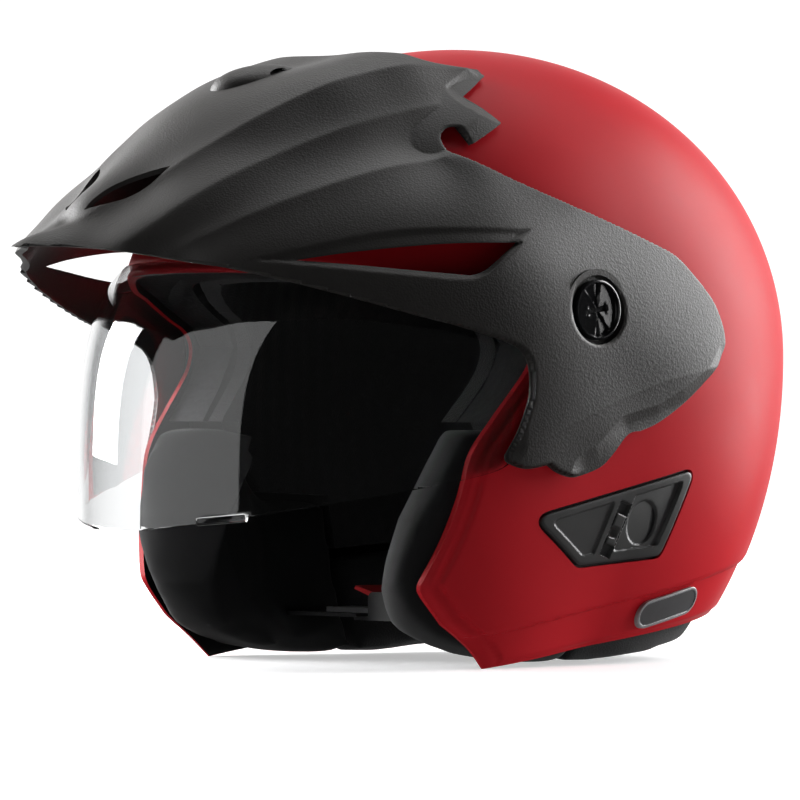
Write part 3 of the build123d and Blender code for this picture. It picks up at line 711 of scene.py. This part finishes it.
# ---- visor ----------------------------------------------------------------------------------
LEAN_HEIGHT, NARROW_HEIGHT = 138.0, 80.0    # how far up the screen's front and sides would close
RING_AROUND, RING_LEVELS = 420, 110


def visor_reach(angles, z, inset):
    lean = np.where(z > VISOR_BOTTOM_Z, ((z - VISOR_BOTTOM_Z) / LEAN_HEIGHT) ** 4, 0.0)
    depth = VISOR_REACH * np.sqrt(1 - lean) - inset
    narrow = np.where(z > PIVOT_Z, ((z - PIVOT_Z) / NARROW_HEIGHT) ** 2, 0.0)
    width = VISOR_X * np.sqrt(1 - narrow) - inset
    total = (np.abs(np.cos(angles)) / width) ** VISOR_POWER
    total += (np.abs(np.sin(angles)) / depth) ** VISOR_POWER
    return total ** (-1 / VISOR_POWER)


def ring_piece(name, inset, floor, top):
    """Closed stack of level rings about the pivot line, the screen's face moved in by inset."""
    around, levels = RING_AROUND, RING_LEVELS
    angles = full_turn(around) - math.pi / 2
    heights = np.linspace(floor, top, levels)
    points, faces = [], []
    for z in heights:
        reach = visor_reach(angles, z, inset)
        points.append(np.column_stack([reach * np.cos(angles), PIVOT_Y + reach * np.sin(angles),
                                       np.full(around, z)]))
    for level in range(levels - 1):
        for i in range(around):
            j = (i + 1) % around
            low, high = level * around, (level + 1) * around
            faces.append([low + i, low + j, high + j, high + i])
    faces.append(list(range(around))[::-1])
    faces.append([(levels - 1) * around + i for i in range(around)])
    return new_piece(name, np.concatenate(points), faces)


def rounded_box(name, size, radius, centre, turn=None):
    """Box with rounded edges, its size in mm, turned about its centre."""
    mesh = bpy.data.meshes.new(name)
    work = bmesh.new()
    bmesh.ops.create_cube(work, size=1.0)
    for vertex in work.verts:
        vertex.co = Vector([value * length * MM for value, length in zip(vertex.co, size)])
    bmesh.ops.bevel(work, geom=work.edges[:] + work.verts[:], offset=radius * MM, segments=4,
                    profile=0.5, affect="EDGES")
    if turn is not None:
        bmesh.ops.transform(work, matrix=turn.to_4x4(), verts=work.verts)
    bmesh.ops.translate(work, vec=Vector(centre) * MM, verts=work.verts)
    for face in work.faces:
        face.smooth = True
    work.to_mesh(mesh)
    work.free()
    piece = bpy.data.objects.new(name, mesh)
    bpy.context.scene.collection.objects.link(piece)
    return piece


def build_visor():
    visor = ring_piece("visor_screen", 0.0, 45, 176)
    inside = ring_piece("visor_inside", VISOR_WALL, 41, 180)
    combine(visor, inside, "DIFFERENCE")
    combine(visor, prism("visor_trim", VISOR_LINE, -150, 150), "INTERSECT")
    arm_line = straight([(-4.6, 128), (13, 134), (13, 153.5), (-4.6, 146.5)])
    for side in (1, -1):
        near, far = sorted((side * 119.95, side * (VISOR_X - 0.1)))
        combine(visor, prism("visor_arm", arm_line, near, far), "UNION")
        combine(visor, pivot_cylinder("visor_disc", 9.8, near, far), "UNION")
        combine(visor, pivot_cylinder("visor_hole", 6.2, side * 110, side * 130), "DIFFERENCE")
    tab_turn = Matrix.Rotation(math.radians(40), 3, "Z") @ Matrix.Rotation(math.radians(-5), 3, "Y")
    combine(visor, rounded_box("lift_tab", (21, 5.0, 3.6), 1.2, (46.5, -115.5, 60.6), tab_turn), "UNION")
    edge = visor.modifiers.new("polished_edge", "BEVEL")
    edge.width, edge.segments, edge.angle_limit = 0.35 * MM, 2, math.radians(50)
    edge.use_clamp_overlap = True
    apply_modifiers(visor)
    shade_smooth(visor, 35)
    finish_piece(visor, VISOR_CLEAR, "visor", ["visor"])


build_visor()


# ---- cheek vents ----------------------------------------------------------------------------
def surface_x(y, z, inset):
    """X of the shell's face, moved inwards by inset, at side-view places (y, z)."""
    low, high = np.full(len(y), 30.0), np.full(len(y), 135.0)
    for _ in range(30):
        middle = (low + high) / 2
        offset = np.column_stack([middle, y - DOME_CENTRE[1], z - DOME_CENTRE[2]])
        reach = np.linalg.norm(offset, axis=1)
        inside = reach < dome_radius(offset / reach[:, None], inset)
        low, high = np.where(inside, middle, low), np.where(inside, high, middle)
    return (low + high) / 2


def relief_piece(name, line, inset_at, floor_inset, side, spacing=0.45):
    """A plate on the shell: its face lies inset_at(places) under the shell's face."""
    low, high = line.min(0) - 1.0, line.max(0) + 1.0
    across = np.linspace(low[0], high[0], int((high[0] - low[0]) / spacing * FINE) + 2)
    up = np.linspace(low[1], high[1], int((high[1] - low[1]) / spacing * FINE) + 2)
    grid_y, grid_z = np.meshgrid(across, up, indexing="ij")
    places = np.column_stack([grid_y.ravel(), grid_z.ravel()])
    face_x = surface_x(places[:, 0], places[:, 1], inset_at(places))
    back_x = surface_x(places[:, 0], places[:, 1], np.full(len(places), floor_inset))
    rows, columns = grid_y.shape
    count = rows * columns
    points = np.concatenate([np.column_stack([face_x, places]), np.column_stack([back_x, places])])
    faces = []
    for i in range(rows - 1):
        for j in range(columns - 1):
            a, b = i * columns + j, (i + 1) * columns + j
            faces += [[a, b, b + 1, a + 1], [count + a + 1, count + b + 1, count + b, count + a]]
    border = ([i * columns for i in range(rows)]
              + [(rows - 1) * columns + j for j in range(1, columns)]
              + [i * columns + columns - 1 for i in range(rows - 2, -1, -1)]
              + [j for j in range(columns - 2, 0, -1)])
    for here, there in zip(border, border[1:] + border[:1]):
        faces.append([there, here, count + here, count + there])
    piece = fix_facing(new_piece(name, points, faces))
    combine(piece, prism("trim", line, 40, 140), "INTERSECT")
    mirrored(piece, side)
    shade_smooth(piece, 40)
    return piece


# The vent's two sunk panels, (y, z, corner radius).
FRONT_PANEL = rounded_corners([(0.5, 59.4, 2.2), (33.5, 66.9, 1.0), (27.0, 46.0, 1.0), (20.6, 45.5, 4.0)])
REAR_PANEL = rounded_corners([(44.5, 69.4, 1.0), (70.6, 75.2, 1.6), (61.4, 48.9, 2.4), (37.4, 46.7, 1.5)])
SLOT_ALONG = (SLOT_TOP - SLOT_BOTTOM) / np.linalg.norm(SLOT_TOP - SLOT_BOTTOM)
SLOT_ACROSS = np.array([-SLOT_ALONG[1], SLOT_ALONG[0]])
SLOT_LENGTH = float(np.linalg.norm(SLOT_TOP - SLOT_BOTTOM))


def slot_place(places):
    offset = places - SLOT_BOTTOM
    return offset @ SLOT_ALONG, offset @ SLOT_ACROSS


def vent_relief(places):
    """Depth of the vent plate's face under the shell's face."""
    edge = signed_distance(places, VENT_LINE)
    depth = np.full(len(places), -0.7) + rounding(np.maximum(edge, 0), 0.9)
    front = signed_distance(places, FRONT_PANEL)
    rear = signed_distance(places, REAR_PANEL)
    tilt = np.clip((places[:, 0] - 40) / 32, 0, 1)
    depth += 0.9 * smooth_step(front / 0.5 + 0.5)
    depth += (0.6 + 1.7 * tilt) * smooth_step(rear / 0.5 + 0.5)
    finger = np.hypot((places[:, 0] - FINGER_HOLE[0]) / 8.3, (places[:, 1] - FINGER_HOLE[1]) / 8.9)
    dish = smooth_step((1 - finger) / 0.07 + 0.5)
    depth += dish * (0.5 + 0.9 * np.clip((places[:, 0] - FINGER_HOLE[0] + 9) / 18, 0, 1))
    along, across = slot_place(places)
    beyond = np.maximum(np.abs(across) - SLOT_WIDTH / 2,
                        np.abs(along - SLOT_LENGTH / 2) - SLOT_LENGTH / 2)
    in_slot = smooth_step(-beyond / 0.4 + 0.5)
    return depth * (1 - in_slot) + 1.5 * in_slot


def build_vent(hand, side):
    """Plate with its black gap and seal, in one piece over the pocket."""
    seal = relief_piece("vent_seal_" + hand, grown(VENT_LINE, 1.25), lambda p: np.full(len(p), 2.0),
                        2.95, side, spacing=1.5)
    finish_piece(seal, DARK_PLASTIC, "helmet")
    plate = relief_piece("vent_plate_" + hand, VENT_LINE, vent_relief, 2.8, side)
    finish_piece(plate, VENT_PLASTIC, "helmet", ["vent_frame_" + hand])


SLIDER_START, SLIDER_END = 4.8, 17.4


def build_slider(hand, side):
    """Block in the slanted slot with a thumb notch between two raised steps."""
    half = SLOT_WIDTH / 2 - 0.35
    corners = [SLOT_BOTTOM + SLOT_ALONG * a + SLOT_ACROSS * b
               for a, b in ((SLIDER_START, -half), (SLIDER_END, -half), (SLIDER_END, half),
                            (SLIDER_START, half))]

    def relief(places):
        along, across = slot_place(places)
        edge = np.minimum(half - np.abs(across), np.minimum(along - SLIDER_START, SLIDER_END - along))
        depth = -1.0 + rounding(np.maximum(edge, 0), 0.6)
        middle = (SLIDER_START + SLIDER_END) / 2 - 1.2
        notch = smooth_step(1.6 - np.abs(along - middle) / 1.7)
        depth += 2.0 * notch * smooth_step((across + 2.6) / 3.5)
        return depth
    slider = relief_piece("vent_thumb_" + hand, np.array(corners), relief, 2.15, side, spacing=0.25)
    finish_piece(slider, VENT_PLASTIC, "vent_slider_" + hand, ["vent_slider_" + hand])


for hand, side in SIDES.items():
    build_vent(hand, side)
    build_slider(hand, side)


# ---- badges ---------------------------------------------------------------------------------
BADGE_RIM_WIDTH, CAPSULE_STEPS = 1.15, 20


def capsule(length, width):
    """Outline of a slot shape on the badge's place, (y, z)."""
    straight_half, radius = (length - width) / 2, width / 2
    ring = []
    for centre, start in ((straight_half, -math.pi / 2), (-straight_half, math.pi / 2)):
        for step in range(CAPSULE_STEPS + 1):
            angle = start + math.pi * step / CAPSULE_STEPS
            ring.append((centre + radius * math.cos(angle), radius * math.sin(angle)))
    ring = np.array(ring)
    turn = np.array([[math.cos(BADGE_TILT), -math.sin(BADGE_TILT)],
                     [math.sin(BADGE_TILT), math.cos(BADGE_TILT)]])
    return ring @ turn.T + np.array(BADGE_CENTRE)


def build_badge(hand, side):
    rim_line = capsule(BADGE_LENGTH, BADGE_WIDTH)

    def relief(places):
        edge = signed_distance(places, rim_line)
        depth = -0.5 + rounding(np.maximum(edge, 0), 0.7)
        return depth + 0.45 * smooth_step((edge - 1.0) / 0.35)
    badge = relief_piece("badge_plate_" + hand, rim_line, relief, BAND_STEP - 0.1, side, spacing=0.35)
    in_rim = signed_distance(face_centres(badge)[:, 1:], rim_line) < BADGE_RIM_WIDTH
    finish_piece(badge, BADGE_GREY, "helmet", ["badge_" + hand])
    paint_faces(badge, BADGE_RIM, in_rim)


for hand, side in SIDES.items():
    build_badge(hand, side)


# ---- peak screws ----------------------------------------------------------------------------
SCREW_SLOT_TURN = math.radians(10)
# The screw behind its face, (x, radius), outside to inside: head, collar, thread.
SCREW_BODY = [(124.1, SCREW_RADIUS), (124.1, 3.9), (119.6, 3.9), (119.6, 2.4), (109.0, 2.4)]


def screw_height(across, up):
    """Height of the screw's face over its rim plane: a ridged face, two wedge hollows, a coin slot."""
    cos_turn, sin_turn = math.cos(SCREW_SLOT_TURN), math.sin(SCREW_SLOT_TURN)
    along, over = across * cos_turn + up * sin_turn, up * cos_turn - across * sin_turn
    reach = np.hypot(across, up)
    inside_rim = smooth_step((SCREW_RADIUS - 1.0 - reach) / 0.7)
    wedge = 0.40 * np.abs(over) - np.abs(along + 0.12 * over)
    height = -inside_rim * (0.45 + 0.13 * np.abs(along) + 1.1 * smooth_step(wedge / 0.7 + 0.5))
    bevel = np.clip(1 - (np.abs(over) - 0.9) / 2.0, 0, 1) * smooth_step((5.2 - np.abs(along)) / 1.5)
    height -= 0.5 * bevel
    in_slot = smooth_step((5.8 - np.abs(along)) / 0.4 + 0.5) * smooth_step((1.0 - np.abs(over)) / 0.3 + 0.5)
    height = height * (1 - in_slot) - 2.3 * in_slot
    return height - rounding(np.maximum(SCREW_RADIUS - reach, 0), 0.8)


def build_screw(hand, side):
    rings, around = int(72 * FINE), int(160 * FINE)
    radii = np.concatenate([[0.0], np.linspace(0.15, SCREW_RADIUS, rings)])
    angles = full_turn(around)
    points = [(SCREW_FACE_X + float(screw_height(np.array([0.0]), np.array([0.0]))[0]), PIVOT_Y, PIVOT_Z)]
    faces = []
    for radius in radii[1:]:
        across, up = radius * np.cos(angles), radius * np.sin(angles)
        top = SCREW_FACE_X + screw_height(across, up)
        points += list(zip(top, PIVOT_Y + across, PIVOT_Z + up))
    for x, radius in SCREW_BODY:
        points += [(x, PIVOT_Y + radius * math.cos(a), PIVOT_Z + radius * math.sin(a)) for a in angles]
    points.append((SCREW_BODY[-1][0], PIVOT_Y, PIVOT_Z))
    for i in range(around):
        faces.append([0, 1 + i, 1 + (i + 1) % around])
    all_rings = rings + len(SCREW_BODY)
    for ring in range(all_rings - 1):
        low, high = 1 + ring * around, 1 + (ring + 1) * around
        faces += [[low + i, high + i, high + (i + 1) % around, low + (i + 1) % around]
                  for i in range(around)]
    last = 1 + (all_rings - 1) * around
    faces += [[last + (i + 1) % around, last + i, len(points) - 1] for i in range(around)]
    screw = fix_facing(new_piece("screw_head_" + hand, points, faces))
    mirrored(screw, side)
    screw.data.set_sharp_from_angle(angle=math.radians(42))
    finish_piece(screw, GLOSS_BLACK, "peak_screw_" + hand, ["peak_screw_" + hand])


for hand, side in SIDES.items():
    build_screw(hand, side)


# ---- air scoop ------------------------------------------------------------------------------
SCOOP_PLACE, SCOOP_TILT = np.array([0, -62, 236.8]), math.radians(14)
SCOOP_HALF_SIZE = (13.0, 21.0, 7.4)


def build_scoop():
    """Low lens-shaped bump on the crest with a slit at each side."""
    directions, faces = cube_sphere(int(40 * FINE))
    turn = np.array(Matrix.Rotation(SCOOP_TILT, 3, "X")).T
    body = directions * SCOOP_HALF_SIZE
    body[:, 2] *= 1 - 0.18 * (body[:, 1] / SCOOP_HALF_SIZE[1])
    scoop = new_piece("air_scoop", body @ turn + SCOOP_PLACE, faces)
    hollow = directions * (10.8, 18.5, 5.7)
    slit = directions * (18, 6.5, 1.5) + (0, 5, 3.4)
    for name, points in (("scoop_hollow", hollow), ("scoop_slit", slit)):
        combine(scoop, new_piece(name, points @ turn + SCOOP_PLACE, faces), "DIFFERENCE")
    combine(scoop, radial_piece("peak_room", lambda d: peak_radius(d, -0.05), 160), "DIFFERENCE")
    shade_smooth(scoop, 38)
    finish_piece(scoop, PEAK_PLASTIC, "helmet", ["scoop_cover"])


build_scoop()


# ---- linings and pads -----------------------------------------------------------------------
def cad_copy(node, name):
    """A loose copy of a soft CAD solid, to be worked into cloth."""
    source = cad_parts[node]
    piece = bpy.data.objects.new(name, source.data.copy())
    bpy.context.scene.collection.objects.link(piece)
    return piece


def remeshed(piece, voxel):
    modifier = piece.modifiers.new("even", "REMESH")
    modifier.mode = "VOXEL"
    modifier.voxel_size = voxel * MM
    modifier.use_smooth_shade = True
    apply_modifiers(piece)
    return piece


def vertex_places(piece):
    flat = np.empty(len(piece.data.vertices) * 3)
    piece.data.vertices.foreach_get("co", flat)
    return flat.reshape(-1, 3) / MM


def set_places(piece, places):
    piece.data.vertices.foreach_set("co", (places * MM).ravel())
    piece.data.update()


CLOTH_FRAMES = 16


def puffed(piece, pressure, cap, voxel=4.5, shrink=1.2):
    """Swells a pad under its cover with Blender's cloth, no point moving more than cap mm."""
    remeshed(piece, voxel)
    smooth = piece.modifiers.new("relax", "SMOOTH")
    smooth.factor, smooth.iterations = 0.5, 6
    apply_modifiers(piece)
    mesh = piece.data
    normals = np.empty(len(mesh.vertices) * 3)
    mesh.vertices.foreach_get("normal", normals)
    start = vertex_places(piece) - normals.reshape(-1, 3) * shrink
    set_places(piece, start)
    cloth = piece.modifiers.new("cloth", "CLOTH")
    cloth.settings.quality = 5
    cloth.settings.use_pressure = True
    cloth.settings.uniform_pressure_force = pressure
    cloth.settings.effector_weights.gravity = 0
    cloth.settings.tension_stiffness = 25
    cloth.settings.compression_stiffness = 25
    scene = bpy.context.scene
    for step in range(1, CLOTH_FRAMES + 1):
        scene.frame_set(step)
    apply_modifiers(piece)
    scene.frame_set(1)
    moved = vertex_places(piece) - start
    length = np.linalg.norm(moved, axis=1)
    moved *= (np.minimum(length, cap) / np.maximum(length, 1e-6))[:, None]
    set_places(piece, start + moved)
    subdivide = piece.modifiers.new("fine", "SUBSURF")
    subdivide.levels = subdivide.render_levels = 1
    apply_modifiers(piece)
    shade_smooth(piece)
    return piece


# Front line of a cheek pad at X 78, (z, y); its front slants back towards the wearer's cheek.
PAD_FRONT = straight([(0, -17), (3, -30), (8, -44), (18, -57), (32, -59.5), (44, -56.5), (60, -50),
                      (76, -39.5), (92, -29), (107, -18)])
PAD_FRONT_X, PAD_SOFTNESS, PAD_DEEPEST = 78, 4, 60


def slant_front(piece):
    places = vertex_places(piece)
    front = np.interp(places[:, 2], PAD_FRONT[:, 0], PAD_FRONT[:, 1])
    front += 0.8 * (PAD_FRONT_X - np.abs(places[:, 0]))
    behind = places[:, 1] - front
    pressed = PAD_SOFTNESS * np.log1p(np.exp(np.clip(behind / PAD_SOFTNESS, -30, 30)))
    places[:, 1] = front + np.where(behind < PAD_DEEPEST, pressed, behind)
    set_places(piece, places)


def build_pads():
    for hand in SIDES:
        pad = puffed(cad_copy("cheek_pad_" + hand, "cheek_cushion_" + hand), 3.0, 3.0)
        slant_front(pad)
        finish_piece(pad, PAD_CLOTH, "helmet", ["cheek_pad_" + hand])
    roll = puffed(cad_copy("neck_roll", "neck_cushion"), 2.5, 2.5)
    finish_piece(roll, LINING, "helmet", ["neck_roll"])
    chin = puffed(cad_copy("chin_pad", "chin_cushion"), 2.0, 1.0, voxel=1.2, shrink=0.3)
    finish_piece(chin, PAD_CLOTH, "helmet", ["chin_pad"])


build_pads()

LINER_OPENING = grown(OPENING_LINE, 4.0)
LINER_FLOOR = straight([(-60, -90), (-60, 99), (-10.5, 99), (1.5, 69.5), (39, 67.5), (39, 45),
                        (250, 60), (250, -90)])


LINING_OUTER_INSET, LINING_INNER_INSET = 28.0, 38.0


def lining_inside(directions):
    """The lining's inner face: pillowed panels between sewn channels."""
    radius = dome_radius(directions, LINING_INNER_INSET)
    places = DOME_CENTRE + directions * radius[:, None]
    side_channel = np.abs(np.abs(places[:, 0]) - 30 - 6 * np.cos(places[:, 1] / 45))
    cross = np.minimum(np.abs(places[:, 1] - 28), np.abs(places[:, 1] - 96))
    cross = np.where(np.abs(places[:, 0]) < 32, cross, 99)
    gap = np.minimum(side_channel, cross)
    pillow = 2.6 * (1 - np.exp(-gap / 7.0)) - 1.4 * np.exp(-(gap / 1.2) ** 2)
    ribs = 0.12 * np.cos(places[:, 1] * 2 * math.pi / 9.0) * smooth_step((gap - 3) / 4)
    return radius - pillow - ribs + 1.6


def build_crown_lining():
    def outside(directions):
        radius = dome_radius(directions, LINING_OUTER_INSET)
        seen = side_view(directions, radius)
        edge = distance_to_line(seen, LINER_OPENING)
        return radius - 1.4 * rounding(edge, 5.0)
    lining = radial_piece("crown_lining", outside, 110)
    inside = radial_piece("lining_inside", lining_inside, 150)
    combine(lining, inside, "DIFFERENCE")
    combine(lining, prism("opening", LINER_OPENING, *THROUGH), "DIFFERENCE")
    combine(lining, prism("floor_cut", LINER_FLOOR, *THROUGH), "DIFFERENCE")
    shade_smooth(lining, 50)
    finish_piece(lining, LINING, "helmet", ["crown_liner"])


build_crown_lining()


# ---- CAD pieces that keep their shape -------------------------------------------------------
def pair(name):
    return [name + "_" + hand for hand in SIDES]


CAD_FINISHES = {FOAM: ["eps_liner"],
                DARK_PLASTIC: ["peak_centre_stud", "buckle_body"] + pair("visor_pivot_plate"),
                STEEL: (["buckle_tongue", "buckle_pin", "buckle_spring"] + pair("screw_nut")
                        + pair("spring_washer") + pair("strap_hanger") + pair("strap_rivet")),
                LEVER_RED: ["buckle_lever"],
                WEBBING: pair("chin_strap")}
for finish, names in CAD_FINISHES.items():
    for name in names:
        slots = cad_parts[name].data.materials
        slots.clear()
        slots.append(finish)


# ---- stage, light and camera ----------------------------------------------------------------
FLOOR_REACH = 30000


def level_sheet(name, z):
    corners = [(x * FLOOR_REACH, y * FLOOR_REACH, z) for x, y in ((-1, -1), (1, -1), (1, 1), (-1, 1))]
    return new_piece(name, corners, [(0, 1, 2, 3)])


def build_stage():
    floor = level_sheet("floor", 0)
    pale = material("pale_floor", (0.82, 0.82, 0.83), 0.6)
    tree = pale.node_tree
    shader = tree.nodes["Principled BSDF"]
    shader.inputs["Emission Color"].default_value = (1, 1, 1, 1)
    # A faint glow, stronger away from the helmet, keeps the floor as pale as the backdrop.
    place = tree.nodes.new("ShaderNodeTexCoord")
    reach = tree.nodes.new("ShaderNodeVectorMath")
    reach.operation = "LENGTH"
    tree.links.new(place.outputs["Object"], reach.inputs[0])
    glow = tree.nodes.new("ShaderNodeMapRange")
    glow.interpolation_type = "SMOOTHSTEP"
    glow.inputs["From Min"].default_value = 0.3
    glow.inputs["From Max"].default_value = 1.4
    glow.inputs["To Min"].default_value = 0.45
    glow.inputs["To Max"].default_value = 1.0
    tree.links.new(reach.outputs["Value"], glow.inputs["Value"])
    tree.links.new(glow.outputs["Result"], shader.inputs["Emission Strength"])
    floor.data.materials.append(pale)
    floor.visible_glossy = floor.visible_transmission = floor.visible_diffuse = False
    # The light that comes back from the floor is dimmer than its pale look.
    bounce = level_sheet("floor_bounce", -1)
    dim = material("dim_floor", (0.3, 0.3, 0.3), 0.9)
    shader = dim.node_tree.nodes["Principled BSDF"]
    shader.inputs["Emission Color"].default_value = (1, 1, 1, 1)
    shader.inputs["Emission Strength"].default_value = BOUNCE
    bounce.data.materials.append(dim)
    bounce.visible_camera = bounce.visible_glossy = bounce.visible_transmission = False
    world = bpy.data.worlds.new("studio")
    bpy.context.scene.world = world
    world.use_nodes = True
    nodes, links = world.node_tree.nodes, world.node_tree.links
    back = nodes["Background"]
    place = nodes.new("ShaderNodeTexCoord")
    turn = nodes.new("ShaderNodeVectorMath")
    turn.operation = "DOT_PRODUCT"
    turn.inputs[1].default_value = (*VIEW_DIRECTION, )
    links.new(place.outputs["Generated"], turn.inputs[0])
    ramp = nodes.new("ShaderNodeMapRange")
    ramp.interpolation_type = "SMOOTHSTEP"
    ramp.inputs["From Min"].default_value = 0.8
    ramp.inputs["From Max"].default_value = 0.96
    ramp.inputs["To Min"].default_value = WORLD_DIM
    ramp.inputs["To Max"].default_value = WORLD_BRIGHT
    links.new(turn.outputs["Value"], ramp.inputs["Value"])
    links.new(ramp.outputs["Result"], back.inputs["Strength"])
    back.inputs["Color"].default_value = (1, 1, 1, 1)


def add_light(name, place, aim, size, power):
    data = bpy.data.lights.new(name, "AREA")
    data.shape = "RECTANGLE"
    data.size, data.size_y = size
    data.energy = power
    light = bpy.data.objects.new(name, data)
    light.location = place
    light.rotation_euler = (Vector(aim) - Vector(place)).to_track_quat("-Z", "Y").to_euler()
    bpy.context.scene.collection.objects.link(light)
    return light


# The camera stands level with the middle of the face opening, 2.8 m off, 50 degrees to the left.
VIEW_TURN = math.radians(50)
VIEW_DIRECTION = Vector((-math.sin(VIEW_TURN), math.cos(VIEW_TURN), 0.0))
VIEW_SIDE = Vector((math.cos(VIEW_TURN), math.sin(VIEW_TURN), 0.0))
VIEW_TARGET = Vector((0.0077, 0.0091, 0.108))
VIEW_DISTANCE, LENS, SENSOR = 2.79, 304.0, 36.0
WORLD_DIM, WORLD_BRIGHT = 0.02, 1.15
BOUNCE = 0.32


def place_from_view(right, back, up):
    """A point given as metres to the camera's right, away from it and up, from the target's foot."""
    return VIEW_SIDE * right + VIEW_DIRECTION * back + Vector((0, 0, up))


build_stage()
middle = (0, 0, 0.13)
add_light("left_softbox", place_from_view(-1.5, 0.75, 0.75), middle, (1.2, 1.4), 80)
front_panel = add_light("front_left_panel", place_from_view(-1.25, -1.0, 0.3), middle, (1.3, 1.8), 8.5)
front_panel.visible_diffuse = False
add_light("rear_right_softbox", place_from_view(1.45, 0.66, 0.55), middle, (1.0, 1.6), 60)
add_light("top_softbox", place_from_view(0.2, 0.7, 1.7), middle, (1.4, 1.0), 10)

camera_data = bpy.data.cameras.new("camera")
camera_data.lens, camera_data.sensor_width = LENS, SENSOR
camera_data.clip_end = 200
camera = bpy.data.objects.new("camera", camera_data)
camera.location = VIEW_TARGET - VIEW_DIRECTION * VIEW_DISTANCE
camera.rotation_euler = VIEW_DIRECTION.to_track_quat("-Z", "Y").to_euler()
bpy.context.scene.collection.objects.link(camera)
bpy.context.scene.camera = camera
bpy.context.scene.view_settings.view_transform = "Standard"
